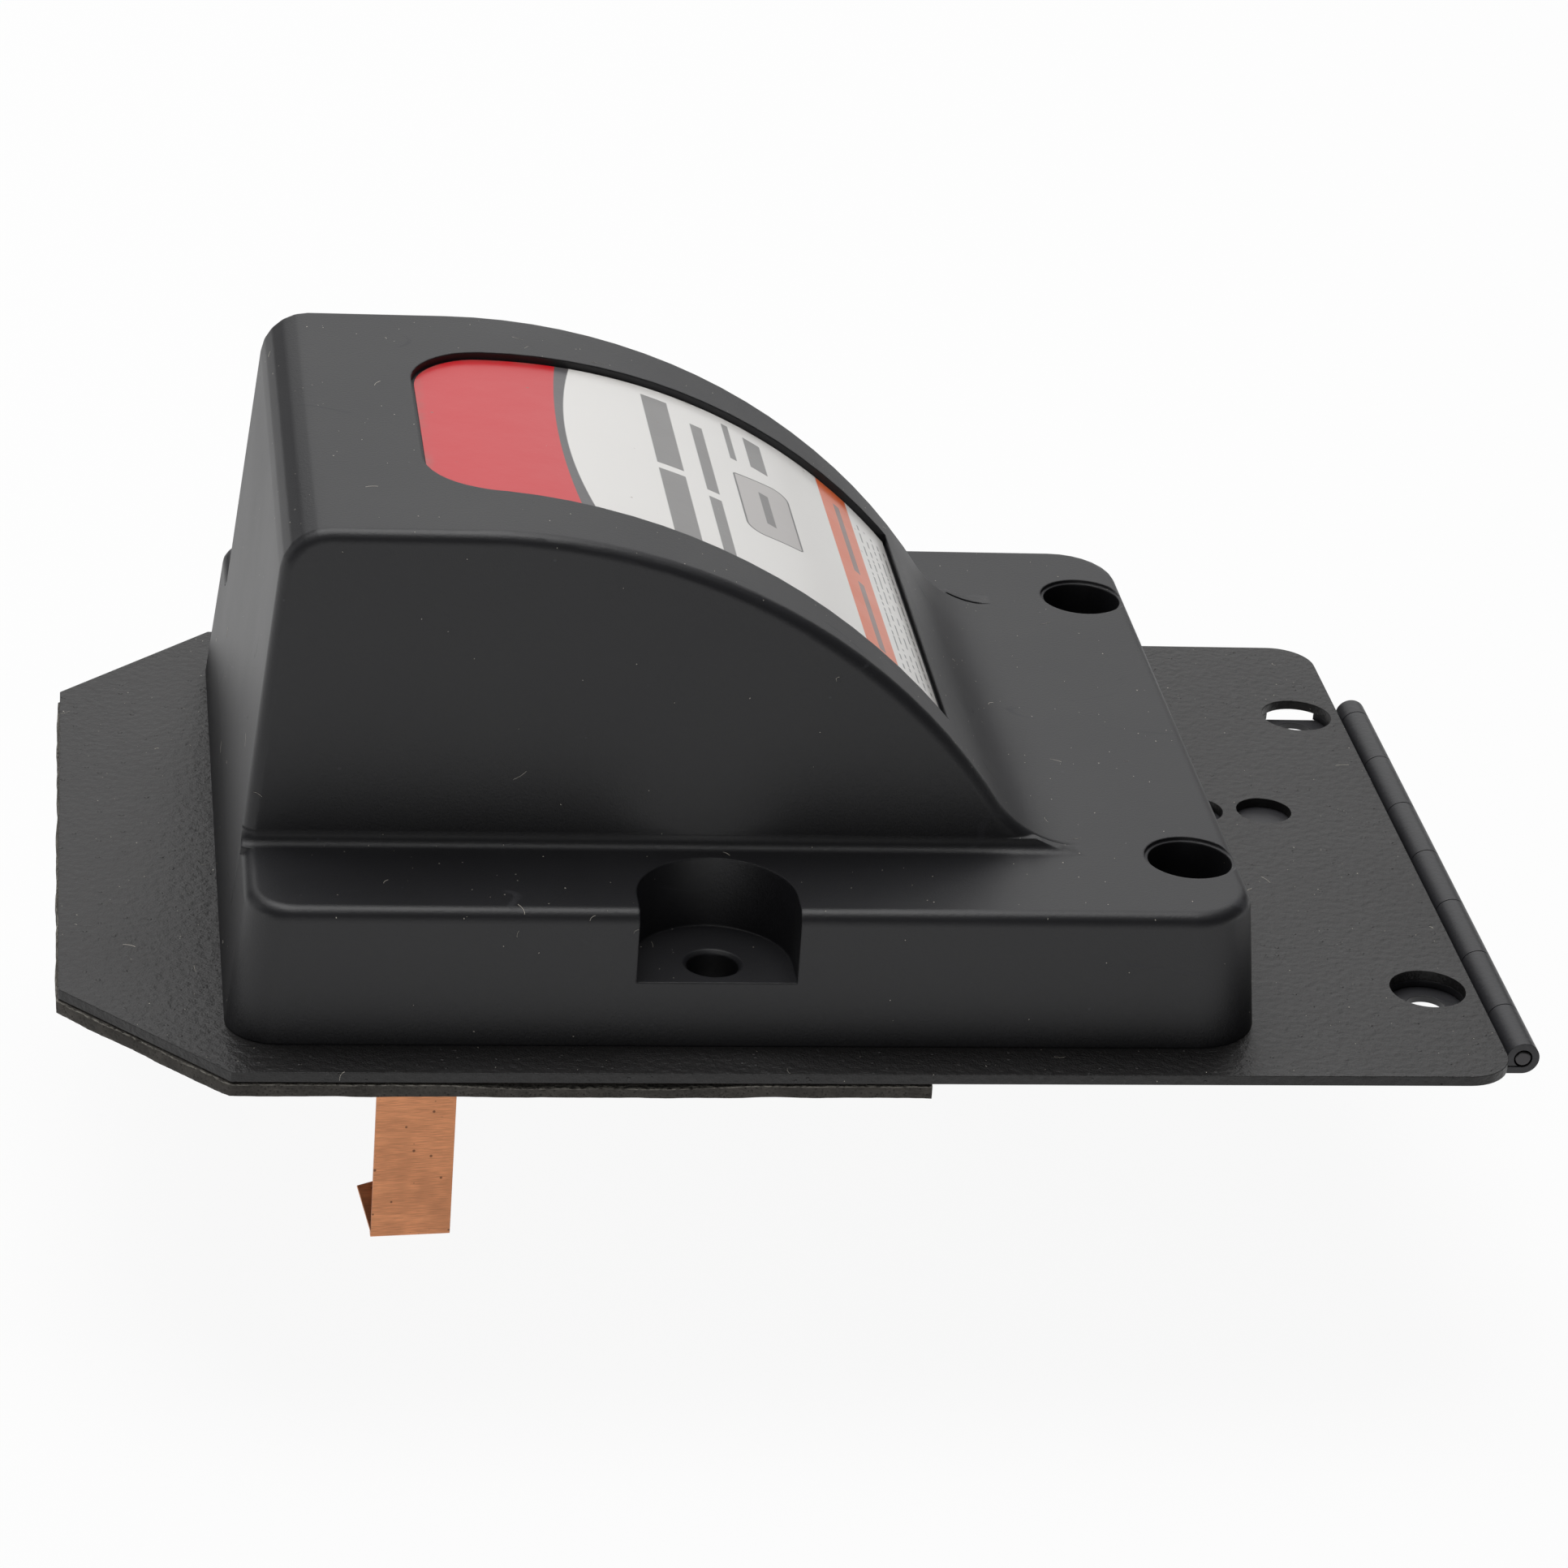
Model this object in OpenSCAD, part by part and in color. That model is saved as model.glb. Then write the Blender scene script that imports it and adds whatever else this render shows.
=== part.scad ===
// Ignition transformer of an oil burner on a hinged base plate, with its spring contacts.
// X runs along the plate towards the hinge, Y away from the viewer, Z up. The origin lies midway
// between the two screw holes of the loose hinge leaf, on the face that meets the burner housing.

/* [Base plate] */
// Length of the base plate
plate_l = 158.6; // [150:0.1:175]
// Width of the base plate
plate_w = 112; // [108:0.5:130]
// Thickness of the base plate
plate_t = 1.2; // [0.9:0.1:2]
// Side of the two cut corners at the free end
plate_chamfer = 18.2; // [8:0.1:24]
// Radius of the two corners at the hinge
plate_corner_r = 5.2; // [2:0.1:9]
// Radius of the two access holes over the leaf screws
access_hole_r = 4.3; // [3.6:0.1:4.8]
// Distance from the access holes to the plate's edge at the hinge
access_inset = 5.5; // [5.2:0.1:8]
// Distance from the access holes to the plate's long sides
access_side = 20.2; // [19:0.1:23]
// Radius of the two spare holes between the cover and the hinge
spare_hole_r = 3.3; // [2:0.1:3.8]
// Distance from the leaf screws to the first spare hole
spare_inset = 9.7; // [9:0.1:11]
// Distance between the two spare holes
spare_pitch = 8.4; // [8:0.1:9]
// Distance of the spare holes from the middle of the plate
spare_offset = 9; // [0:0.5:20]

/* [Hinge] */
// Distance from the hinge's near end to the plate's front
hinge_front = 5.9; // [4:0.1:12]
// Distance from the hinge's far end to the plate's back
hinge_back = 17.1; // [10:0.1:17.5]
// Length of one knuckle
knuckle_pitch = 12.7; // [10:0.1:16]
// Length of the short knuckle at the far end
first_knuckle_l = 3.5; // [2:0.1:9]
// Gap between two knuckles
knuckle_gap = 0.15; // [0.1:0.05:0.4]
// Radius of the hinge pin
pin_r = 1; // [0.8:0.05:1.2]
// Running clearance round the pin
pin_clearance = 0.05; // [0.02:0.01:0.1]
// Thickness of a hinge leaf
leaf_t = 0.8; // [0.7:0.05:1]
// Width of a hinge leaf from the pin
leaf_w = 25; // [23:0.5:28]
// Gap between the two leaves when they are closed
leaf_gap = 0.1; // [0.05:0.05:0.3]
// Gap between the plate's edge and the barrel
barrel_gap = 0.3; // [0.2:0.05:0.8]
// Radius of the screw holes in the loose leaf
leaf_hole_r = 2.2; // [1.5:0.1:2.4]

/* [Cover] */
// Length of the cover's low block at its foot
block_l = 113.6; // [112:0.1:118]
// Distance from the cover's foot to the plate's long sides
block_side = 6; // [3:0.1:7]
// Height of the cover's low block
block_h = 16; // [14:0.1:20]
// Distance from the low block to the plate's edge at the hinge
block_inset = 27.3; // [26.8:0.1:30]
// Radius of the block's upright corners at the free end
block_corner_left_r = 5.5; // [3:0.1:8]
// Radius of the block's upright corners at the hinge end
block_corner_right_r = 7.5; // [4:0.1:9]
// Radius of the rounded top edges
edge_r = 1.6; // [1:0.1:2.5]
// Draft of the two ends in degrees
end_draft = 6; // [3:0.1:7]
// Draft of the two long sides in degrees
side_draft = 1.7; // [0.5:0.1:3]
// Wall thickness of the cover
wall = 2.4; // [2:0.1:3]
// Height of the hump
hump_h = 52.3; // [50:0.1:56]
// Distance from the hump to the block's long sides, at their feet
hump_inset = 16.3; // [15:0.1:17.5]
// Length of the flat crest from the block's free end
crest_l = 26.2; // [24:0.1:28]
// Length of the flat ledge between the long curve and the block's end at the hinge
ledge_l = 18.8; // [17:0.1:21]
// Radius of the corner between the free end and the crest
crest_r = 5.5; // [4:0.1:7]
// Radius of the hollow where the long curve meets the block
toe_r = 12; // [8:0.5:14]
// Radius of the hollow along the hump's long sides
foot_r = 1.4; // [0.8:0.1:3]

/* [Holes in the cover] */
// Half the width of the two side pockets
pocket_r = 8.75; // [8:0.05:10]
// Height of the pocket's floor above the plate
pocket_floor = 7.7; // [5:0.1:9]
// Distance from the pocket's screw hole to the block's side
pocket_inset = 4.8; // [4.5:0.1:6]
// Distance from the pockets to the block's end at the hinge
pocket_place = 61.1; // [58:0.1:64]
// Radius of the screw hole in the pocket's floor
pocket_hole_r = 2.85; // [2:0.05:3.2]
// Radius of the two deep wells at the hinge end
well_r = 4.7; // [4:0.1:5]
// Distance from the wells to the block's end at the hinge
well_inset = 7.2; // [7:0.1:9]
// Distance from the wells to the block's long sides
well_side = 14.8; // [13.5:0.1:16]
// Height of the well's floor above the plate
well_floor = 4; // [2.5:0.1:6]
// Radius of the screw hole in the well's floor
well_hole_r = 2.3; // [1.8:0.1:3]
// Width of the bevel round a hole's mouth
rim = 0.4; // [0.2:0.05:0.8]

/* [Label] */
// Depth of the label's recess
recess_d = 1; // [0.6:0.1:1.4]
// Thickness of the label
label_t = 0.2; // [0.1:0.05:0.3]
// Distance from the recess to the block's free end
recess_start = 21.2; // [19:0.1:24]
// Distance from the recess's low end to the hollow at the long curve's toe, seen from above
recess_margin = 5.2; // [4:0.1:9]
// Distance from the recess's low end to the hump's sides
recess_side = 8.1; // [7:0.1:11]
// Flare of the recess's two long sides in degrees
recess_flare = 6; // [0:0.5:8]
// Radius of the recess's two corners near the crest
recess_corner_r = 9; // [4:0.1:12]

/* [Gasket] */
// Length of the gasket
gasket_l = 94; // [92:0.5:98]
// Thickness of the gasket
gasket_t = 2; // [1.8:0.1:2.5]
// How far the gasket stands out past the plate's free end
gasket_over = 0.3; // [0:0.1:0.6]
// Width of the gasket's band at its two ends
gasket_band = 13; // [11:0.5:15]
// Width of the gasket's band at its two long sides
gasket_side = 15; // [14.5:0.1:15.5]
// Gap between the gasket and a screw through it
gasket_clearance = 0.4; // [0.2:0.1:1]

/* [High-voltage outlets] */
// Distance from the outlets to the ends of the coils above them
outlet_inset = 1.5; // [1.1:0.1:3]
// Distance from the outlets to the block's free end
outlet_place = 22.5; // [21.5:0.1:24]
// Radius of the insulator's body under the plate
insulator_r = 8; // [7:0.1:9]
// Radius of the insulator's neck through the plate
neck_r = 6; // [5:0.1:6.5]
// Height of the insulator's neck above the plate
neck_h = 5; // [4:0.1:6]
// Length of the insulator under the plate
insulator_l = 14; // [12:0.5:16]
// Depth of the grooves round the insulator
groove_d = 1.2; // [0.5:0.1:1.6]
// Number of grooves round the insulator
groove_count = 3; // [2:1:4]
// Radius of the terminal stud
stud_r = 2; // [1.5:0.1:2.2]
// Height of the stud's top above the plate
stud_top = 9; // [7.5:0.1:10]
// Thickness of the nut under the strap
nut_h = 2.5; // [2:0.1:3]
// Distance across the nut's corners
nut_w = 8; // [7:0.1:9]

/* [Contact straps] */
// Width of a contact strap
strap_w = 9.2; // [8:0.1:10]
// Thickness of a contact strap
strap_t = 0.5; // [0.3:0.05:0.8]
// Distance from the lowest edge of the straps up to the leaf's underside
strap_drop = 37.9; // [33:0.1:42]
// Distance from the stud to the strap's upright leg
strap_reach = 6; // [5:0.1:7]
// Inner radius of the strap's upper bend
strap_bend_r = 0.8; // [0.5:0.1:1.5]
// Length of the lip at the strap's lower end
lip_l = 5.6; // [4:0.1:8]
// Lean of the lip from the upright in degrees
lip_lean = 40; // [30:1:55]
// Sideways turn of the lip in its own plane in degrees
lip_turn = 13; // [0:1:18]
// Turn of the strap about its stud in degrees
strap_turn = 5; // [0:0.5:8]

/* [Screws and lead outlet] */
// Radius of a cover screw's shank
screw_r = 1.6; // [1.3:0.1:1.8]
// Length of a cover screw's shank
screw_l = 10; // [8:0.5:11]
// Radius of a cover screw's head
head_r = 3.2; // [2.8:0.1:3.3]
// Height of a cover screw's head
head_h = 1.4; // [1.1:0.05:1.5]
// Distance from the screws at the free end to the block's end
screw_place_left = 12; // [11:0.1:13]
// Distance from the screws at the hinge end to the block's end
screw_place_right = 23; // [22:0.1:24]
// Distance from the screws at the free end to the block's long sides
screw_side_left = 13.5; // [13.3:0.1:13.7]
// Distance from the screws at the hinge end to the block's long sides
screw_side_right = 10; // [9:0.1:11]
// Radius of the bosses that take the screws
boss_r = 3.6; // [3.2:0.1:4]
// Radius of the hole through the lead grommet
grommet_bore_r = 2.6; // [2:0.1:3]
// Radius of the grommet's neck
grommet_neck_r = 4.2; // [3.8:0.1:4.6]
// Radius of the grommet's two flanges
grommet_r = 5.6; // [5:0.1:6]
// Thickness of one grommet flange
grommet_flange_t = 1.3; // [1:0.1:1.5]
// Distance from the grommet to the block's end at the hinge
grommet_place = 16; // [15:0.5:18]

/* [Transformer inside] */
// Height of the core's middle above the plate
core_z = 35; // [34.5:0.1:36]
// Length of the ferrite core along the part
core_w = 30; // [29.6:0.1:30.6]
// Length of the ferrite core across the part, as a share of the hump's width
core_share = 0.6825; // [0.66:0.0025:0.71]
// Height of the ferrite core
core_d = 12; // [11:0.5:13]
// Thickness of the core's back and outer legs
core_leg = 4.4; // [4:0.1:4.5]
// Radius of the core's round middle leg
core_mid_r = 5.5; // [5:0.1:5.5]
// Wall of the coil former
former_t = 1; // [0.6:0.1:1.2]
// Radius of the former's flanges
former_r = 10.4; // [9.8:0.1:10.5]
// Length of the middle chamber with the primary winding
primary_l = 10; // [8:0.5:11]
// Gap between the top of the windings and the flanges' rims
winding_gap = 1; // [0.5:0.1:1.5]
// Radius of the wires from the coils to the studs
coil_wire_r = 0.5; // [0.3:0.1:0.8]

/* [Circuit board inside] */
// Distance from the board to the block's free end
board_start = 35.6; // [34:0.1:38]
// Distance from the board's long sides to the pockets
board_side = 8.05; // [7:0.05:10]
// Thickness of the circuit board
board_t = 1.6; // [1:0.1:2]
// Height of the board above the plate
board_z = 4; // [3.5:0.1:4.5]
// Distance from the board to the block's end at the hinge
board_place = 8; // [7:0.5:9]
// Radius of the smoothing capacitor
smoothing_r = 7; // [6:0.1:8]
// Height of the smoothing capacitor
smoothing_h = 22; // [16:0.5:24]
// Length of the resonant capacitor
resonant_l = 18; // [14:0.5:20]
// Width of the resonant capacitor
resonant_w = 8; // [6:0.5:9]
// Height of the resonant capacitor
resonant_h = 14; // [10:0.5:16]
// Distance from the board's edge, or from a like piece, to a piece on the board
board_margin = 2; // [1:0.1:3]
// Distance from the resistor to the board's end at the hinge
small_parts_place = 4; // [2:0.5:8]
// Distance from the heat sink to the board's long sides
sink_side = 6; // [4:0.5:10]
// Height of the heat sink
sink_h = 14; // [12:0.5:16]
// Thickness of the heat sink
sink_t = 2; // [1.5:0.1:3]
// Width of the power transistor
transistor_w = 10; // [9:0.1:11]
// Height of the power transistor's body
transistor_h = 9; // [8:0.5:10]
// Thickness of the power transistor's body
transistor_t = 4.5; // [4:0.1:5]
// Radius of a diode's body
diode_r = 1.4; // [1:0.1:1.8]
// Length of a diode's body
diode_l = 5; // [4:0.5:6]
// Number of diodes
diode_count = 4; // [2:1:4]
// Length of the resistor's body
resistor_l = 12; // [9:0.5:14]
// Radius of the resistor's body
resistor_r = 2; // [1.5:0.1:2.5]
// Fit of the pieces in the potting compound and in each other
fit = 0.1; // [0.05:0.05:0.2]

/* [Hidden] */

// Facets of true round shapes and of the small rounds inside a hull, and the least such round
fine = 64;
coarse = 28;
least_r = 0.6;
// Facets of the long curve, of the crest's corner and of a recess corner
curve_steps = 24;
crest_steps = 5;
recess_steps = 10;
// Thin slab that gives a hull its flat foot, and the reach of a cut past a surface
foot = 0.01;
cut = 1;

// Heights
plate_z = 2*leaf_t + leaf_gap;
deck = plate_z + plate_t;
bore_r = pin_r + pin_clearance;
barrel_r = bore_r + leaf_t;

// Places along X and Y
plate_x1 = access_inset;
plate_x0 = plate_x1 - plate_l;
pin_x = plate_x1 + barrel_gap + barrel_r;
pin_z = barrel_r;
access_y = plate_w/2 - access_side;
block_w = plate_w - 2*block_side;
hump_w = block_w - 2*hump_inset;
block_x1 = plate_x1 - block_inset;
block_x0 = block_x1 - block_l;
pocket_x = block_x1 - pocket_place;
pocket_y = block_w/2 - pocket_inset;
well_x = block_x1 - well_inset;
well_y = block_w/2 - well_side;
outlet_x = block_x0 + outlet_place;
grommet_x = block_x1 - grommet_place;
screw_places = [[block_x0 + screw_place_left, block_w/2 - screw_side_left],
                [block_x1 - screw_place_right, block_w/2 - screw_side_right]];

// The long curve touches the crest and the hollow at its toe, which touches the ledge
arc_x = block_x0 + crest_l;
toe_x = block_x1 - ledge_l;
hump_rise = hump_h - block_h;
hump_r = (pow(toe_x - arc_x, 2) + pow(hump_rise, 2))/(2*hump_rise) - toe_r;
arc_z = hump_h - hump_r;
toe_share = hump_r/(hump_r + toe_r);
toe_angle = asin((toe_x - arc_x)/(hump_r + toe_r));
toe_top = [arc_x + (toe_x - arc_x)*toe_share, arc_z + (block_h + toe_r - arc_z)*toe_share];
// The hump's hull starts this far up inside the block
hump_root = block_h/2;

// Hinge
hinge_y1 = plate_w/2 - hinge_back;
hinge_y0 = -plate_w/2 + hinge_front;
hinge_l = hinge_y1 - hinge_y0;
knuckle_count = ceil((hinge_l - first_knuckle_l)/knuckle_pitch) + 1;
function knuckle_y1(i) = i == 0 ? hinge_y1 : hinge_y1 - first_knuckle_l - (i - 1)*knuckle_pitch;
function knuckle_y0(i) = max(hinge_y0, hinge_y1 - first_knuckle_l - i*knuckle_pitch);

// Where a drafted face lies at height z over the plate
function left_x(z) = block_x0 + z*tan(end_draft);
function hump_y(z) = hump_w/2 - (z - block_h)*tan(side_draft);

// Recess
recess_x0 = block_x0 + recess_start;
recess_x1 = toe_top[0] - recess_margin;
recess_l = recess_x1 - recess_x0;
recess_w = hump_w - 2*recess_side;

// Gasket
gasket_x0 = plate_x0 - gasket_over;
gasket_x1 = gasket_x0 + gasket_l;
gasket_z = plate_z - gasket_t;
gasket_window_w = plate_w - 2*gasket_side;

// Outlets
insulator_z = plate_z - insulator_l;
strap_z = insulator_z - strap_t;

// Transformer
core_x = outlet_x;
core_zc = deck + core_z;
former_bore_r = core_mid_r + fit;
former_tube_r = former_bore_r + former_t;
core_l = core_share*hump_w;
former_l = core_l - 2*core_leg - 2*fit;
winding_r = former_r - winding_gap;
outlet_y = former_l/2 - former_t - outlet_inset;

// Circuit board
board_x0 = block_x0 + board_start;
board_x1 = block_x1 - board_place;
board_l = board_x1 - board_x0;
board_w = 2*(pocket_y - pocket_r - wall - board_side);
board_top = deck + board_z + board_t;
smoothing_x = board_x0 + board_margin + smoothing_r;
smoothing_y = board_w/4;
resonant_x = board_x0 + board_margin + resonant_l/2;
resonant_y = -board_w/4;
small_parts_x = board_x1 - small_parts_place - resistor_l;
sink_x = (resonant_x + resonant_l/2 + small_parts_x - sink_t - transistor_t)/2;
sink_w = board_w - 2*sink_side;
resistor_y = -board_w/2 + board_margin + resistor_r;
function diode_y(i) = board_w/2 - board_margin - diode_r - i*(2*diode_r + board_margin);

module on_both_sides() {
    children();
    mirror([0, 1, 0]) children();
}

// Hinge leaves: a flat slab, with every second knuckle curled round the pin
module knuckle(i) {
    length = knuckle_y1(i) - knuckle_y0(i) - knuckle_gap;
    translate([pin_x, knuckle_y1(i) - knuckle_gap/2, pin_z]) rotate([90, 0, 0])
        linear_extrude(length) children();
}

module leaf_slab(z, first) {
    back_x = pin_x - leaf_w;
    notch_x = pin_x - barrel_r - barrel_gap;
    translate([back_x, hinge_y0, z]) cube([notch_x - back_x, hinge_l, leaf_t]);
    for (i = [first:2:knuckle_count - 1])
        translate([back_x, knuckle_y0(i) + knuckle_gap/2, z])
            cube([leaf_w, knuckle_y1(i) - knuckle_y0(i) - knuckle_gap, leaf_t]);
}

module leaf(z, first, slit_z) {
    slit = knuckle_gap;
    difference() {
        union() {
            leaf_slab(z, first);
            for (i = [first:2:knuckle_count - 1]) knuckle(i) difference() {
                circle(barrel_r, $fn = fine);
                translate([-2*barrel_r, slit_z - pin_z]) square([2*barrel_r - slit, slit]);
            }
        }
        translate([pin_x, hinge_y1 + cut, pin_z]) rotate([90, 0, 0])
            cylinder(r = bore_r, h = hinge_l + 2*cut, $fn = fine);
    }
}

module hinge_free_leaf() color("#26262a") difference() {
    leaf(0, 1, leaf_t);
    on_both_sides() translate([0, access_y, -cut])
        cylinder(r = leaf_hole_r, h = leaf_t + 2*cut, $fn = fine);
}

module hinge_fixed_leaf() color("#2a2a2e") difference() {
    leaf(leaf_t + leaf_gap, 0, plate_z);
    on_both_sides() translate([0, access_y, 0])
        cylinder(r = access_hole_r, h = deck, $fn = fine);
}

module hinge_pin() color("#8a8a8c")
    translate([pin_x, hinge_y1, pin_z]) rotate([90, 0, 0]) cylinder(r = pin_r, h = hinge_l, $fn = fine);

// Base plate
module plate_outline() {
    half = plate_w/2;
    polygon([[plate_x0, -half + plate_chamfer], [plate_x0 + plate_chamfer, -half],
             [plate_x1 - plate_corner_r, -half], [plate_x1 - plate_corner_r, half],
             [plate_x0 + plate_chamfer, half], [plate_x0, half - plate_chamfer]]);
    translate([plate_x1 - plate_corner_r - cut, -half + plate_corner_r])
        square([plate_corner_r + cut, plate_w - 2*plate_corner_r]);
    for (s = [-1, 1]) translate([plate_x1 - plate_corner_r, s*(half - plate_corner_r)])
        circle(plate_corner_r, $fn = fine);
}

module screw_sites() for (p = screw_places) on_both_sides() translate(p) children();

module base_plate() color("#3c3c3e") translate([0, 0, plate_z]) linear_extrude(plate_t) difference() {
    plate_outline();
    on_both_sides() {
        translate([0, access_y]) circle(access_hole_r, $fn = fine);
        translate([outlet_x, outlet_y]) circle(neck_r + fit, $fn = fine);
        translate([pocket_x, pocket_y]) circle(pocket_hole_r, $fn = fine);
        translate([well_x, well_y]) circle(well_hole_r, $fn = fine);
    }
    for (i = [0, 1]) translate([-spare_inset - i*spare_pitch, spare_offset]) circle(spare_hole_r, $fn = fine);
    screw_sites() circle(screw_r + fit, $fn = fine);
    translate([grommet_x, 0]) circle(grommet_neck_r + fit, $fn = fine);
}

module gasket() color("#3a3a3a") translate([0, 0, gasket_z]) linear_extrude(gasket_t) difference() {
    half = plate_w/2;
    polygon([[gasket_x0, -half + plate_chamfer], [gasket_x0 + plate_chamfer, -half], [gasket_x1, -half],
             [gasket_x1, half], [gasket_x0 + plate_chamfer, half], [gasket_x0, half - plate_chamfer]]);
    translate([gasket_x0 + gasket_band + gasket_over, -gasket_window_w/2])
        square([gasket_l - 2*gasket_band, gasket_window_w]);
    on_both_sides() {
        translate([pocket_x, pocket_y]) circle(pocket_hole_r + gasket_clearance, $fn = fine);
        translate([outlet_x, outlet_y]) circle(insulator_r + gasket_clearance, $fn = fine);
    }
    screw_sites() circle(head_r + gasket_clearance, $fn = fine);
    translate([grommet_x, 0]) circle(grommet_r + gasket_clearance, $fn = fine);
}

// Cover. g is the distance that a solid lies inside the cover's outer skin
module soft_disc(r, f) rotate_extrude($fn = coarse) {
    square([r - f, f]);
    translate([r - f, 0]) intersection() {
        circle(f, $fn = coarse);
        square(f);
    }
}

module block_solid(g) {
    top = block_h - g;
    soft = max(edge_r - g/2, least_r);
    in_x = top*tan(end_draft);
    in_y = top*tan(side_draft);
    hull() for (end = [[block_x0 + g, 1, block_corner_left_r], [block_x1 - g, -1, block_corner_right_r]])
        on_both_sides() {
            r = end[2] - g/2;
            translate([end[0] + end[1]*r, block_w/2 - g - r, 0]) cylinder(r = r, h = foot, $fn = coarse);
            translate([end[0] + end[1]*(r + in_x), block_w/2 - g - r - in_y, top - soft]) soft_disc(r, soft);
        }
}

module hump_solid(g) {
    soft = max(edge_r - g/2, least_r);
    in = g + soft;
    corner = [left_x(hump_h - crest_r) + crest_r/cos(end_draft), hump_h - crest_r];
    r_small = crest_r - in;
    r_long = hump_r - in;
    a_crest = (90 - end_draft)/crest_steps;
    a_long = acos((hump_root - arc_z)/r_long)/curve_steps;
    spots = concat([[left_x(hump_root) + in/cos(end_draft), hump_root]],
                   [for (i = [0:crest_steps])
                       corner + max(r_small, foot)*[-cos(end_draft + a_crest*i), sin(end_draft + a_crest*i)]],
                   [for (i = [0:curve_steps]) [arc_x, arc_z] + r_long*[sin(a_long*i), cos(a_long*i)]]);
    hull() for (p = spots) on_both_sides()
        translate([p[0], hump_y(p[1]) - in, p[1]]) sphere(r = soft, $fn = coarse);
}

// The hollow at the long curve's toe turns about its own axis, and its two side edges are rounded
module toe_profile() {
    y = hump_y(toe_top[1]);
    translate([toe_r + edge_r, -y]) square([2*edge_r, 2*y]);
    translate([toe_r, edge_r - y]) square([2*edge_r, 2*(y - edge_r)]);
    for (s = [-1, 1]) translate([toe_r + edge_r, s*(y - edge_r)]) circle(edge_r, $fn = coarse);
}

module toe_hollow() translate([toe_x, 0, block_h + toe_r]) rotate([90, 0, 0]) intersection() {
    rotate_extrude($fn = 4*fine) toe_profile();
    translate([0, 0, -hump_w/2]) linear_extrude(hump_w)
        polygon([[0, 0], -3*toe_r*[sin(toe_angle), cos(toe_angle)], [0, -3*toe_r]]);
}

// Everything under the crest, the long curve and the hollow at its toe
module under_hump() rotate([90, 0, 0]) translate([0, 0, -block_w/2]) linear_extrude(block_w) {
    intersection() {
        translate([arc_x, arc_z]) circle(hump_r, $fn = 4*fine);
        translate([arc_x, 0]) square([hump_r, hump_h]);
    }
    difference() {
        polygon([toe_top, [toe_x, block_h], [toe_x, block_h - cut], [toe_top[0] - cut, block_h - cut],
                 toe_top - [cut, 0]]);
        translate([toe_x, block_h + toe_r]) circle(toe_r, $fn = 2*fine);
    }
    polygon([[block_x0, 0], [left_x(hump_h - crest_r), hump_h - crest_r], [arc_x, hump_h - crest_r], [arc_x, 0]]);
}

// The hollow along the foot of the hump, which turns round the hump's two corners at the free end
module foot_profile() difference() {
    translate([-cut, -cut]) square(foot_r + cut);
    translate([foot_r, foot_r]) circle(foot_r, $fn = fine);
}

module foot_hollow() intersection() {
    under_hump();
    on_both_sides() translate([left_x(block_h) + edge_r, hump_y(block_h) - edge_r, block_h]) {
        translate([0, edge_r, 0]) rotate([90, 0, 90]) linear_extrude(block_l) foot_profile();
        rotate_extrude($fn = fine) translate([edge_r, 0]) foot_profile();
    }
}

module pocket_column(r, z, h) translate([pocket_x, pocket_y, z]) {
    cylinder(r = r, h = h, $fn = fine);
    translate([-r, 0, 0]) cube([2*r, block_w/2, h]);
}

module well_column(r, z, h) translate([well_x, well_y, z]) cylinder(r = r, h = h, $fn = fine);

// What stands in the cover's hollow: the pockets, the wells and the screw bosses
module cover_columns(g) on_both_sides() {
    pocket_column(pocket_r + wall + g, -cut, block_h);
    well_column(well_r + wall + g, -cut, block_h);
    translate([well_x, well_y, -cut]) cube([block_w, block_w, block_h]);
    for (p = screw_places) translate([p[0], p[1], -cut]) cylinder(r = boss_r + g, h = block_h, $fn = fine);
}

module recess_outline() {
    middle = [recess_x0 + recess_corner_r,
              recess_w/2 - (recess_l - recess_corner_r)*tan(recess_flare) - recess_corner_r/cos(recess_flare)];
    sweep = 90 - recess_flare;
    upper = [for (i = [0:recess_steps])
        middle + recess_corner_r*[-cos(sweep*i/recess_steps), sin(sweep*i/recess_steps)]];
    lower = [for (i = [recess_steps:-1:0]) [upper[i][0], -upper[i][1]]];
    polygon(concat(upper, [[recess_x1, recess_w/2], [recess_x1, -recess_w/2]], lower));
}

// Everything under the crest and the long curve, d below their surface
module under_crest(d) rotate([90, 0, 0]) translate([0, 0, -hump_w/2]) linear_extrude(hump_w) {
    translate([arc_x, arc_z]) circle(hump_r - d, $fn = 4*fine);
    translate([block_x0, 0]) square([crest_l, hump_h - d]);
}

module recess() difference() {
    translate([0, 0, block_h]) linear_extrude(hump_h) recess_outline();
    under_crest(recess_d);
}

module cover() color("#3a3a3d") translate([0, 0, deck]) difference() {
    union() {
        block_solid(0);
        hump_solid(0);
        toe_hollow();
        foot_hollow();
    }
    difference() {
        union() {
            translate([0, 0, -foot]) block_solid(wall);
            hump_solid(wall);
        }
        cover_columns(0);
    }
    recess();
    on_both_sides() {
        pocket_column(pocket_r, pocket_floor, block_h);
        translate([pocket_x, pocket_y, -cut]) cylinder(r = pocket_hole_r, h = block_h, $fn = fine);
        translate([pocket_x, pocket_y, pocket_floor - rim])
            cylinder(r1 = pocket_hole_r, r2 = pocket_hole_r + 2*rim, h = 2*rim, $fn = fine);
        well_column(well_r, well_floor, block_h);
        well_column(well_hole_r, -cut, block_h);
        translate([0, 0, block_h - rim]) well_column(well_r + rim, 0, 2*rim);
        for (p = screw_places) translate([p[0], p[1], -cut])
            cylinder(r = screw_r + fit, h = screw_l + cut, $fn = fine);
    }
}

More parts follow.
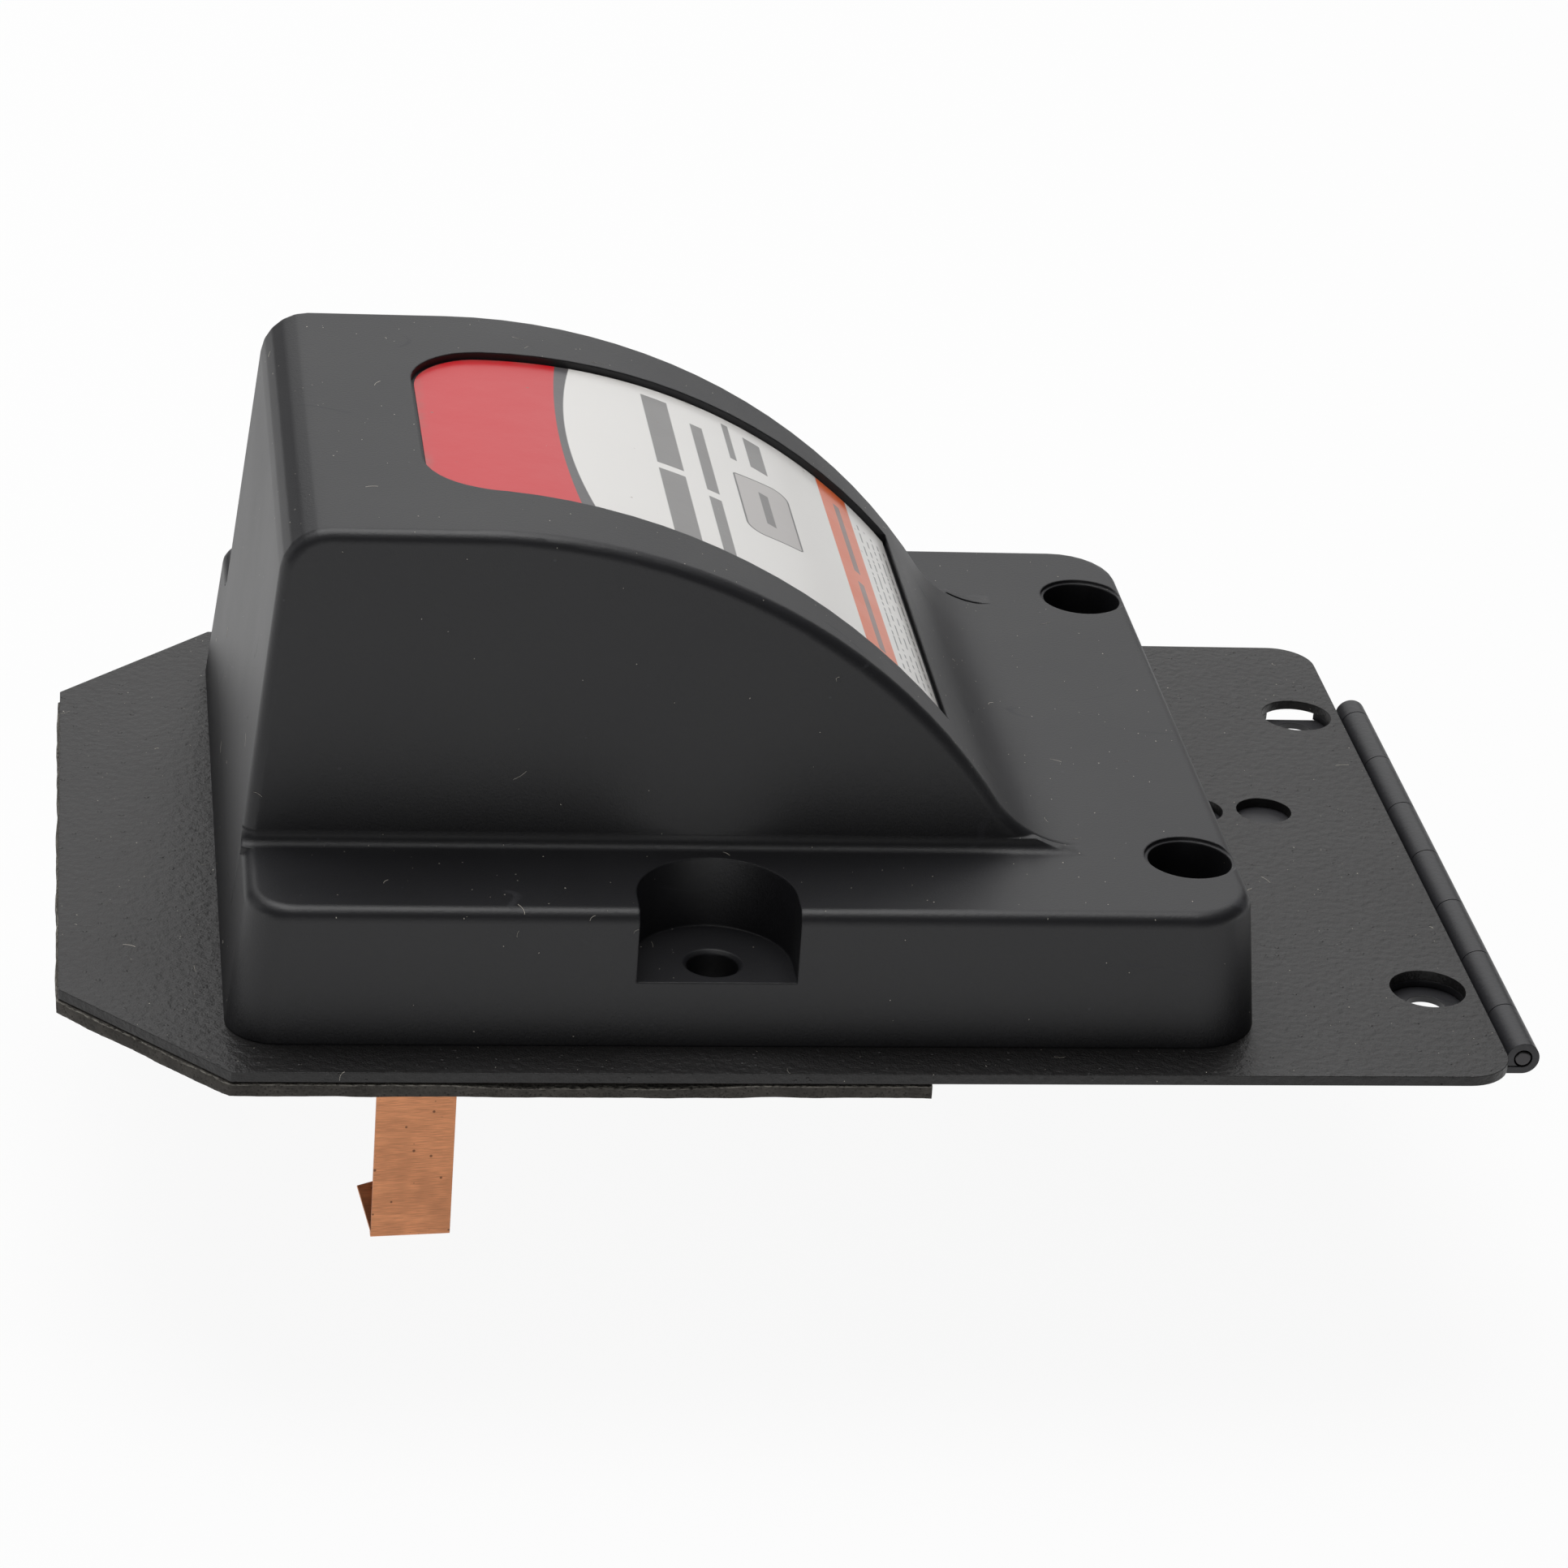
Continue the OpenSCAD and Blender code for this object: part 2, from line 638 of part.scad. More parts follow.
module label() color("#e8e5e2") translate([0, 0, deck]) intersection() {
    translate([0, 0, block_h]) linear_extrude(hump_h) recess_outline();
    difference() {
        under_crest(recess_d - label_t);
        under_crest(recess_d);
    }
}

// High-voltage outlets
module insulator() color("#d8d2c4") translate([outlet_x, outlet_y, 0]) difference() {
    union() {
        translate([0, 0, insulator_z]) cylinder(r = insulator_r, h = insulator_l, $fn = fine);
        translate([0, 0, plate_z - cut]) cylinder(r = neck_r, h = cut + plate_t + neck_h, $fn = fine);
    }
    translate([0, 0, insulator_z - cut])
        cylinder(r = stud_r + fit, h = insulator_l + plate_t + neck_h + 2*cut, $fn = fine);
    groove_pitch = insulator_l/(groove_count + 1);
    for (i = [1:groove_count]) translate([0, 0, insulator_z + i*groove_pitch]) rotate_extrude($fn = fine)
        translate([insulator_r, 0]) circle(groove_d, $fn = coarse);
}

module stud() color("#c9a24a") translate([outlet_x, outlet_y, strap_z - nut_h - cut])
    cylinder(r = stud_r, h = deck + stud_top - strap_z + nut_h + cut, $fn = fine);

module strap_nuts() color("#b8b4a8") on_both_sides() translate([outlet_x, outlet_y, strap_z - nut_h])
    difference() {
        cylinder(d = nut_w, h = nut_h, $fn = 6);
        translate([0, 0, -cut]) cylinder(r = stud_r + fit, h = nut_h + 2*cut, $fn = fine);
    }

// A strap hangs from its stud: tab, bend and upright leg in one profile, and the turned-up lip
module strap_profile() {
    bend_y = -strap_reach + strap_t + strap_bend_r;
    translate([bend_y, 0]) square([strap_w/2 - bend_y, strap_t]);
    translate([bend_y, -strap_bend_r]) intersection() {
        difference() {
            circle(strap_bend_r + strap_t, $fn = fine);
            circle(strap_bend_r, $fn = fine);
        }
        translate([-strap_bend_r - strap_t, 0]) square(strap_bend_r + strap_t);
    }
    translate([-strap_reach, -strap_drop - strap_z + strap_t])
        square([strap_t, strap_drop + strap_z - strap_t - strap_bend_r]);
}

module strap_lip() {
    left = [-strap_w/2, 0];
    tip = left + lip_l*[-sin(lip_turn), cos(lip_turn)];
    translate([0, -strap_reach + strap_t, -strap_drop - strap_z + strap_t]) {
        rotate([0, 90, 0]) translate([0, 0, -strap_w/2]) cylinder(r = strap_t, h = strap_w, $fn = fine);
        rotate([90 - lip_lean, 0, 0]) linear_extrude(strap_t)
            polygon([left, [strap_w/2, 0], tip + strap_w*[cos(lip_turn), sin(lip_turn)], tip]);
    }
}

module strap() color("#b87548") translate([outlet_x, -outlet_y, strap_z]) rotate([0, 0, strap_turn])
    difference() {
        union() {
            rotate([90, 0, 90]) translate([0, 0, -strap_w/2]) linear_extrude(strap_w) strap_profile();
            strap_lip();
        }
        translate([0, 0, -cut]) cylinder(r = stud_r + fit, h = strap_t + 2*cut, $fn = fine);
    }

// Screws that hold the cover to the plate from below
module cover_screws() color("#9a9a96") screw_sites() {
    translate([0, 0, plate_z]) cylinder(r = screw_r, h = plate_t + screw_l - cut, $fn = fine);
    translate([0, 0, plate_z - head_h]) cylinder(r = head_r, h = head_h, $fn = fine);
}

module lead_grommet() color("#202020") translate([grommet_x, 0, 0]) difference() {
    union() {
        translate([0, 0, plate_z - grommet_flange_t])
            cylinder(r = grommet_neck_r, h = 2*grommet_flange_t + plate_t, $fn = fine);
        translate([0, 0, plate_z - grommet_flange_t]) cylinder(r = grommet_r, h = grommet_flange_t, $fn = fine);
        translate([0, 0, deck]) cylinder(r = grommet_r, h = grommet_flange_t, $fn = fine);
    }
    translate([0, 0, plate_z - grommet_flange_t - cut])
        cylinder(r = grommet_bore_r, h = 2*(grommet_flange_t + cut) + plate_t, $fn = fine);
}

// Transformer: two core halves that meet in the middle of the coil former
module core_half() color("#45454a") translate([core_x, 0, core_zc]) {
    for (s = [-1, 1]) translate([s*(core_w - core_leg)/2 - core_leg/2, 0, -core_d/2])
        cube([core_leg, core_l/2, core_d]);
    translate([-core_w/2, core_l/2 - core_leg, -core_d/2]) cube([core_w, core_leg, core_d]);
    rotate([-90, 0, 0]) cylinder(r = core_mid_r, h = core_l/2 - core_leg/2, $fn = fine);
}

module ring_y(y0, y1, r0, r1) translate([core_x, y0, core_zc]) rotate([-90, 0, 0]) linear_extrude(y1 - y0)
    difference() {
        circle(r1, $fn = fine);
        circle(r0, $fn = fine);
    }

module coil_former() color("#c8b890") {
    ring_y(-former_l/2, former_l/2, former_bore_r, former_tube_r);
    on_both_sides() {
        ring_y(former_l/2 - former_t, former_l/2, former_bore_r, former_r);
        ring_y(primary_l/2, primary_l/2 + former_t, former_bore_r, former_r);
    }
}

module primary_winding() color("#a85a32") ring_y(-primary_l/2, primary_l/2, former_tube_r, winding_r);

module secondary_winding() color("#b8683a")
    ring_y(primary_l/2 + former_t, former_l/2 - former_t, former_tube_r, winding_r);

module coil_leads() color("#c08040") on_both_sides() translate([core_x, outlet_y, deck + stud_top])
    cylinder(r = coil_wire_r, h = core_z - winding_r - stud_top, $fn = coarse);

// Circuit board and the pieces that stand on it
module circuit_board() color("#3f6b3a") translate([board_x0, -board_w/2, deck + board_z])
    cube([board_l, board_w, board_t]);

module smoothing_capacitor() color("#30343c") translate([smoothing_x, smoothing_y, board_top])
    cylinder(r = smoothing_r, h = smoothing_h, $fn = fine);

module resonant_capacitor() color("#a8843c")
    translate([resonant_x - resonant_l/2, resonant_y - resonant_w/2, board_top])
        cube([resonant_l, resonant_w, resonant_h]);

module heat_sink() color("#b0b2b4") translate([sink_x, -sink_w/2, board_top]) cube([sink_t, sink_w, sink_h]);

module power_transistor() color("#1c1c1e")
    translate([sink_x + sink_t, -transistor_w/2, board_top]) cube([transistor_t, transistor_w, transistor_h]);

module diodes() color("#222226") for (i = [0:diode_count - 1])
    translate([small_parts_x, diode_y(i), board_top + diode_r]) rotate([0, 90, 0])
        cylinder(r = diode_r, h = diode_l, $fn = coarse);

module resistor() color("#c8b48c") translate([small_parts_x, resistor_y, board_top + resistor_r])
    rotate([0, 90, 0]) cylinder(r = resistor_r, h = resistor_l, $fn = coarse);

// Potting compound: fills the cover round everything that is set in it
module box_room(p, s) translate(p - [fit, fit, fit]) cube(s + 2*[fit, fit, fit]);

module potting() color("#1e1e20") difference() {
    translate([0, 0, deck]) difference() {
        union() {
            block_solid(wall + fit);
            hump_solid(wall + fit);
        }
        cover_columns(fit);
    }
    on_both_sides() {
        translate([outlet_x, outlet_y, deck - cut]) cylinder(r = neck_r + fit, h = cut + neck_h + fit, $fn = fine);
        translate([outlet_x, outlet_y, deck - cut]) cylinder(r = stud_r + fit, h = cut + stud_top + fit, $fn = fine);
        translate([outlet_x, outlet_y, deck]) cylinder(r = coil_wire_r + fit, h = core_z, $fn = coarse);
    }
    translate([grommet_x, 0, deck - cut]) cylinder(r = grommet_r + fit, h = cut + grommet_flange_t + fit, $fn = fine);
    box_room([core_x - core_w/2, -core_l/2, core_zc - core_d/2], [core_w, core_l, core_d]);
    translate([core_x, -former_l/2 - fit, core_zc]) rotate([-90, 0, 0])
        cylinder(r = former_r + fit, h = former_l + 2*fit, $fn = fine);
    box_room([board_x0, -board_w/2, deck + board_z], [board_l, board_w, board_t]);
    translate([smoothing_x, smoothing_y, board_top]) cylinder(r = smoothing_r + fit, h = smoothing_h + fit, $fn = fine);
    box_room([resonant_x - resonant_l/2, resonant_y - resonant_w/2, board_top], [resonant_l, resonant_w, resonant_h]);
    box_room([sink_x, -sink_w/2, board_top], [sink_t, sink_w, sink_h]);
    box_room([sink_x + sink_t, -transistor_w/2, board_top], [transistor_t, transistor_w, transistor_h]);
    for (i = [0:diode_count - 1])
        box_room([small_parts_x, diode_y(i) - diode_r, board_top], [diode_l, 2*diode_r, 2*diode_r]);
    box_room([small_parts_x, resistor_y - resistor_r, board_top], [resistor_l, 2*resistor_r, 2*resistor_r]);
}

hinge_free_leaf();
hinge_pin();
hinge_fixed_leaf();
base_plate();
gasket();
cover();
label();
potting();
mirror([0, 1, 0]) insulator();  // insulator_front
insulator();  // insulator_back
mirror([0, 1, 0]) stud();  // stud_front
stud();  // stud_back
strap_nuts();
strap();  // strap_front
mirror([0, 1, 0]) strap();  // strap_back
cover_screws();
lead_grommet();
mirror([0, 1, 0]) core_half();  // core_front
core_half();  // core_back
coil_former();
primary_winding();
mirror([0, 1, 0]) secondary_winding();  // secondary_front
secondary_winding();  // secondary_back
coil_leads();
circuit_board();
smoothing_capacitor();
resonant_capacitor();
heat_sink();
power_transistor();
diodes();
resistor();
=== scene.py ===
"""Looks of an oil burner's ignition transformer on its hinged plate, built round the CAD frame."""

import math

import bmesh
import bpy
from bpy.props import FloatProperty, FloatVectorProperty, IntProperty, PointerProperty
from mathutils import Matrix, Vector, noise


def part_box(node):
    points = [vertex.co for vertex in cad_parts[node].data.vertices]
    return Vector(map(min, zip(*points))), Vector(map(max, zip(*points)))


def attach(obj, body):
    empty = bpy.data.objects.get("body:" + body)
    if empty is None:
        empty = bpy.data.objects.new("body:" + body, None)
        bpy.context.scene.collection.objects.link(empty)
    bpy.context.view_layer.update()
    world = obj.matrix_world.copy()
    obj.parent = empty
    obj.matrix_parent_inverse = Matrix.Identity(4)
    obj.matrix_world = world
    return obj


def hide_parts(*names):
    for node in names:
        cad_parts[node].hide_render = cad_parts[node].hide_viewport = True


bl_info = {
    "name": "Ignition Transformer Looks",
    "version": (1, 0, 0),
    "blender": (4, 5, 0),
    "location": "View3D > Sidebar > Igniter",
    "description": "Cover, label, plate, gasket, hinge, contacts, screws and dust of an ignition transformer",
    "category": "Object",
}

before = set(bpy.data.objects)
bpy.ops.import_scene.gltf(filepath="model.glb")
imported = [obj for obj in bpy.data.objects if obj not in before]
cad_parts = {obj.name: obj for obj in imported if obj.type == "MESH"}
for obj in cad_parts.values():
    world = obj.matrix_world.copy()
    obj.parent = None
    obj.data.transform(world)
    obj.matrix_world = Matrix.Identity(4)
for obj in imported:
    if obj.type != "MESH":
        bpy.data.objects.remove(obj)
MM = 0.001

# Measures that the looks share with the solids, in millimetres
PLATE_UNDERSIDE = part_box("base_plate")[0].z / MM
HUMP_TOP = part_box("cover")[1].z / MM
HUMP_R = 70.97
ARC_X = -109.2
ARC_Z = HUMP_TOP - HUMP_R
RECESS_X0 = -114.2
RECESS_X1 = -55.72
RECESS_W = 51.2
RECESS_DEPTH = 1.0
RECESS_CORNER = 9.0
RECESS_FLARE = math.radians(6)
LABEL_T = 0.2
OUTLET_X = -112.9
OUTLET_Y = 16.0
SCREW_PLACES = ((-123.4, 36.5), (-44.8, 40.0))
GASKET_T = 2.0

# Where the gasket hangs from the plate: along X, in front of Y, and how far it takes to let go
SAG_X = (-111.5, -79.5)
SAG_Y = -54.0
SAG_EASE_X = 6.0
SAG_EASE_Y = 1.6

# Places on the label, in millimetres: along it from the start of the long curve, then across it
RED_END = (10.95, 11.1)
WHITE_START = (11.85, 12.0)
ORANGE_BAND = (47.8, 52.9)
SMALL_PRINT = (53.7, 59.9)
BADGE_PLACE = (36.95, -0.7)
BADGE_HALF = (3.95, 8.3)
BARS = (
    (22.6, 25.9, -23.5, -2.5),
    (22.6, 25.9, -0.9, 19.4),
    (28.5, 30.1, -21.0, -5.4),
    (28.5, 30.1, -3.6, 15.8),
    (33.3, 34.2, 10.6, 21.0),
    (36.2, 38.6, 11.4, 20.2),
    (36.2, 37.5, -5.0, 4.0),
    (50.0, 51.0, -21.0, -2.6),
    (50.0, 51.0, 0.4, 19.8),
)

# Lamps of the studio: name, place in metres and side of the square
SOFT_BOXES = (
    ("back", (0.1, 1.35, 0.75), 1.5),
    ("top", (-0.2, 0.25, 1.3), 1.0),
    ("left", (-1.25, 0.25, 0.4), 0.8),
    ("front", (-0.2, -1.25, 0.22), 0.5),
)
LIT_PLACE = (-0.07, 0, 0)
FLOOR_REACH = 4.0
FLOOR_WHITE = 0.93

# How CAD shapes are made smooth, in millimetres and degrees
JOIN_GAP = 0.002
SLIVER = 0.02
FLAT_ANGLE = 0.4
BEVEL_ANGLE = 40

# Finishes inside the cover: name, colour, roughness, metal, grain and its depth in metres, nodes
INNER_FINISHES = (
    ("potting_resin", (30, 30, 32), 0.3, 0.0, 0.002, 0.0001, ("potting",)),
    ("core_ferrite", (60, 60, 64), 0.5, 0.1, 0.0003, 0.00003, ("core_front", "core_back")),
    ("former_plastic", (196, 180, 140), 0.45, 0.0, 0.0005, 0.00001, ("coil_former",)),
    ("board_laminate", (52, 104, 56), 0.35, 0.0, 0.0004, 0.00001, ("circuit_board",)),
    ("capacitor_sleeve", (44, 48, 60), 0.28, 0.0, 0.001, 0.00001, ("smoothing_capacitor",)),
    ("capacitor_film", (170, 132, 60), 0.3, 0.0, 0.001, 0.00001, ("resonant_capacitor",)),
    ("sink_aluminium", (186, 188, 190), 0.36, 1.0, 0.0002, 0.00001, ("heat_sink",)),
    ("transistor_resin", (32, 32, 34), 0.5, 0.0, 0.0003, 0.00001, ("power_transistor", "diodes")),
    ("resistor_ceramic", (204, 190, 158), 0.6, 0.0, 0.0004, 0.00001, ("resistor",)),
)
PRINT_PLACE = "print_place"
SWINGING = "igniter"
STANDING = "hinge_leaf"


def eye(red, green, blue):
    """A colour given as a screen shows it, from 0 to 255, in linear light."""
    return tuple(((c / 255 + 0.055) / 1.055) ** 2.4 for c in (red, green, blue))


def hue(name, description, red, green, blue):
    """A colour that a user may change."""
    linear = eye(red, green, blue)
    return FloatVectorProperty(name=name, description=description, subtype="COLOR", min=0, max=1, default=linear)


def share(name, description, value):
    """A number from 0 to 1 that a user may change."""
    return FloatProperty(name=name, description=description, default=value, min=0, max=1, subtype="FACTOR")


def amount(name, description, value):
    """A number without a limit above that a user may change."""
    return FloatProperty(name=name, description=description, default=value, min=0)


def length(name, description, millimetres):
    """A length that a user may change."""
    return FloatProperty(
        name=name, description=description, default=millimetres * MM, min=0, unit="LENGTH", precision=6
    )


class CoverLook(bpy.types.PropertyGroup):
    """The moulded cover."""

    plastic: hue("Plastic", "Colour of the moulded plastic", 29, 29, 32)
    gloss: share("Roughness", "Roughness of the satin skin", 0.46)
    grain: length("Grain", "Width of the mould's fine grain", 0.3)
    edge: length("Edge", "Radius of the softened edges", 0.35)


class LabelLook(bpy.types.PropertyGroup):
    """The label in the cover's recess."""

    red: hue("Red field", "Colour of the field on the crest", 208, 22, 34)
    arc: hue("Arc", "Colour of the narrow bowed band", 84, 82, 84)
    white: hue("White field", "Colour of the label's ground", 233, 231, 228)
    orange: hue("Orange band", "Colour of the band near the low end", 226, 106, 56)
    badge: hue("Badge", "Colour of the badge", 186, 182, 180)
    print_grey: hue("Print", "Colour of the plain bars", 92, 90, 90)
    gap: length("Gap", "Gap between the label and the recess's wall", 0.4)
    gloss: share("Roughness", "Roughness of the clear film", 0.2)


class PlateLook(bpy.types.PropertyGroup):
    """The coated base plate."""

    coat: hue("Powder coat", "Colour of the powder coat", 32, 31, 31)
    gloss: share("Roughness", "Roughness of the powder coat", 0.42)
    peel: length("Peel", "Width of the ripples in the coat", 0.9)
    edge: length("Edge", "Radius of the coated edges", 0.22)


class GasketLook(bpy.types.PropertyGroup):
    """The foam gasket under the plate."""

    foam: hue("Foam", "Colour of the foam", 82, 79, 75)
    glue: hue("Glue", "Colour of the glue line along the upper edge", 186, 182, 172)
    cell: length("Cell", "Size of the cells that the foam is modelled in", 0.7)
    sag: length("Sag", "How far the front edge has come away from the plate", 0.45)
    wave: length("Wave", "How far the cut edge wanders", 0.16)


class HingeLook(bpy.types.PropertyGroup):
    """The hinge with its pin."""

    black: hue("Black finish", "Colour of the hinge leaves", 40, 40, 43)
    steel: hue("Pin", "Colour of the pin", 70, 69, 70)
    edge: length("Edge", "Radius of the leaves' edges", 0.14)


class OutletLook(bpy.types.PropertyGroup):
    """The high-voltage outlets and their contacts."""

    copper: hue("Copper", "Colour of the contact straps", 226, 156, 112)
    brush: length("Brushing", "Width of the brush marks", 0.09)
    ceramic: hue("Ceramic", "Colour of the insulators", 214, 206, 190)
    brass: hue("Brass", "Colour of the studs", 196, 160, 84)
    pitch: length("Thread pitch", "Pitch of the studs' thread", 0.7)


class FastenerLook(bpy.types.PropertyGroup):
    """The cover screws, the strap nuts and the lead grommet."""

    steel: hue("Plated steel", "Colour of the screws and nuts", 178, 176, 168)
    rubber: hue("Rubber", "Colour of the grommet", 34, 34, 35)
    slot: length("Cross slot", "Half the width of the cross slot's arms", 0.42)
    seed: IntProperty(name="Seed", description="Seed of the screws' turns", default=4, min=0)


class DustLook(bpy.types.PropertyGroup):
    """The dust and lint on the upper faces."""

    dust: hue("Dust", "Colour of the flecks and lint", 214, 208, 196)
    flecks: amount("Flecks", "Flecks on a square metre", 34000)
    fleck: length("Fleck", "Radius of a fleck", 0.055)
    lint: amount("Lint", "Bits of lint on a square metre", 3200)
    lint_length: length("Lint length", "Length of a bit of lint", 0.9)
    seed: IntProperty(name="Seed", description="Seed of the places", default=11, min=0)


class StudioLook(bpy.types.PropertyGroup):
    """The camera, the lamps and the floor."""

    lens: FloatProperty(name="Lens", description="Focal length in millimetres", default=120.35, min=1)
    eye: FloatVectorProperty(
        name="Camera",
        description="Place of the camera",
        subtype="TRANSLATION",
        default=(-0.15483, -0.54259, 0.27673),
    )
    pitch: FloatProperty(name="Pitch", description="Tilt downwards", subtype="ANGLE", default=0.4519)
    yaw: FloatProperty(name="Yaw", description="Turn towards the hinge", subtype="ANGLE", default=0.1559)
    roll: FloatProperty(name="Roll", description="Turn about the line of view", subtype="ANGLE", default=0.0799)
    sky: amount("Room light", "Strength of the even light", 0.05)
    back: amount("Back", "Power of the soft box behind the part", 6.5)
    top: amount("Top", "Power of the soft box overhead", 15.0)
    left: amount("Left", "Power of the soft box at the free end", 1.5)
    front: amount("Front", "Power of the low soft box in front", 1.0)
    floor_z: length("Drop", "Depth of the floor under the origin", 38.1)


class Wire:
    """A socket's value. Sums, products and tests of wires add their own Math nodes."""

    def __init__(self, nodes, socket):
        self.nodes = nodes
        self.socket = socket

    def out(self, key):
        """Another output of the same node."""
        return Wire(self.nodes, self.socket.node.outputs[key])

    def math(self, operation, *values):
        return self.nodes.add("ShaderNodeMath", {"operation": operation}, list(values))

    def __add__(self, other):
        return self.math("ADD", self, other)

    def __sub__(self, other):
        return self.math("SUBTRACT", self, other)

    def __rsub__(self, other):
        return self.math("SUBTRACT", other, self)

    def __mul__(self, other):
        return self.math("MULTIPLY", self, other)

    def __truediv__(self, other):
        return self.math("DIVIDE", self, other)

    def __abs__(self):
        return self.math("ABSOLUTE", self)

    __radd__ = __add__
    __rmul__ = __mul__

    def most(self, other):
        return self.math("MAXIMUM", self, other)

    def least(self, other):
        return self.math("MINIMUM", self, other)

    def rise(self, low, high):
        """0 below low, 1 above high, smooth between them."""
        ramp = {"interpolation_type": "SMOOTHSTEP"}
        return self.nodes.add("ShaderNodeMapRange", ramp, {"Value": self, "From Min": low, "From Max": high})

    def span(self, low, high, soft):
        """1 between low and high."""
        return self.rise(low - soft, low + soft) - self.rise(high - soft, high + soft)

    def between(self, first, second):
        """A number that goes from first to second as this one goes from 0 to 1."""
        return self * (second - first) + first


class Nodes:
    """Adds nodes to one tree, of a material or of Geometry Nodes."""

    def __init__(self, tree):
        self.tree = tree

    def add(self, kind, settings=None, inputs=None, out=0):
        """One node: its settings, then the values or wires of its sockets."""
        node = self.tree.nodes.new(kind)
        for name, value in (settings or {}).items():
            setattr(node, name, value)
        pairs = inputs.items() if isinstance(inputs, dict) else enumerate(inputs or ())
        for key, value in pairs:
            for one in value if isinstance(value, list) else [value]:
                if isinstance(one, Wire):
                    self.tree.links.new(one.socket, node.inputs[key])
                elif one is not None:
                    node.inputs[key].default_value = one
        return Wire(self, node.outputs[out] if len(node.outputs) else None)


class Finish(Nodes):
    """A material in the making. Its patterns lie in the part's own frame, in metres."""

    def __init__(self, name):
        self.material = bpy.data.materials.new(name)
        self.material.use_nodes = True
        super().__init__(self.material.node_tree)
        self.tree.nodes.clear()
        self.place = self.add("ShaderNodeTexCoord").out("Object")

    def axes(self, place=None):
        """The three numbers of a place."""
        parts = self.add("ShaderNodeSeparateXYZ", {}, [place or self.place])
        return parts, parts.out("Y"), parts.out("Z")

    def stretched(self, factors):
        """The place, scaled by a factor along each axis."""
        return self.add("ShaderNodeVectorMath", {"operation": "MULTIPLY"}, [self.place, factors])

    def clouds(self, size, detail=2.0, place=None):
        """Noise from 0 to 1 whose blobs are about size metres wide."""
        sockets = {"Vector": place or self.place, "Scale": 1 / size, "Detail": detail}
        return self.add("ShaderNodeTexNoise", {}, sockets)

    def cells(self, size, place=None):
        """Distance from the middle of the nearest cell, in cells."""
        return self.add("ShaderNodeTexVoronoi", {}, {"Vector": place or self.place, "Scale": 1 / size})

    def specks(self, cell, some, radius):
        """1 on round specks in some share of the cells, each up to radius cells wide."""
        near = self.cells(cell)
        chance = self.add("ShaderNodeSeparateColor", {}, [near.out("Color")])
        return (1 - near.rise(radius * 0.55, radius)) * chance.rise(1 - some, 1.0 - some * 0.8)

    def hairlines(self, size, width, stretch):
        """1 on thin wandering lines, broken up."""
        line = abs(self.clouds(size, 1.0, self.stretched(stretch)) - 0.5)
        return (1 - line.rise(width * 0.4, width)) * self.clouds(size * 0.4, 2.0).rise(0.56, 0.66)

    def mix(self, factor, first, second):
        """A colour between two."""
        colours = {0: factor, 6: rgba(first), 7: rgba(second)}
        return self.add("ShaderNodeMix", {"data_type": "RGBA"}, colours, 2)

    def rounded(self, radius):
        """The normal, turned smoothly over the edges."""
        return self.add("ShaderNodeBevel", {"samples": 6}, {"Radius": radius})

    def rubbed_and_highlit(self, normal):
        """1 on the outside of edges that rounded() has turned, 0 on flat faces: the mask that makes edges
        lighter, partly as wear and partly as a painted highlight.
        """
        flat = self.add("ShaderNodeNewGeometry").out("Normal")
        facing = self.add("ShaderNodeVectorMath", {"operation": "DOT_PRODUCT"}, [normal, flat], "Value")
        return (1 - facing).rise(0.01, 0.16)

    def relief(self, height, depth, under=None):
        """The normal of a surface whose height differs by up to depth metres."""
        sockets = {"Strength": 1.0, "Distance": depth, "Height": height, "Normal": under}
        return self.add("ShaderNodeBump", {}, sockets)

    def skin(self, **sockets):
        """Joins the numbers and colours in one shader and ends the material."""
        named = {key.replace("_", " ").title().replace("Ior", "IOR"): value for key, value in sockets.items()}
        shader = self.add("ShaderNodeBsdfPrincipled", {}, named)
        self.add("ShaderNodeOutputMaterial", {}, {"Surface": shader})
        return self.material


def rgba(colour):
    """A colour with its alpha, or a wire as it is."""
    return colour if isinstance(colour, Wire) else (*colour[:3], 1.0)


def tinted(colour, factor):
    """A colour made lighter or darker."""
    return tuple(min(1.0, c * factor) for c in colour[:3])


def plain_finish(name, colour, gloss, metal=0.0, grain=0.0004, depth=0.00001, edge=0.0, patches=0.012):
    """An even finish with fine grain, faint patches, some specks and, where asked for, softened edges made
    lighter, partly as wear and partly as a painted highlight.
    """
    f = Finish(name)
    patch = f.clouds(patches, 3.0)
    speck = f.specks(0.0016, 0.12, 0.16)
    normal = f.rounded(edge) if edge else None
    base = f.mix(patch.rise(0.25, 0.75), tinted(colour, 0.88), tinted(colour, 1.12))
    base = f.mix(speck * 0.35, base, tinted(colour, 1.7))
    # Where edges are softened they are also made lighter: partly wear, partly a painted highlight.
    if edge:
        base = f.mix(f.rubbed_and_highlit(normal) * 0.3, base, tinted(colour, 1.8))
    return f.skin(
        base_color=base,
        metallic=metal,
        roughness=patch.between(gloss * 0.86, gloss * 1.14),
        normal=f.relief(f.clouds(grain, 2.0), depth, normal),
    )


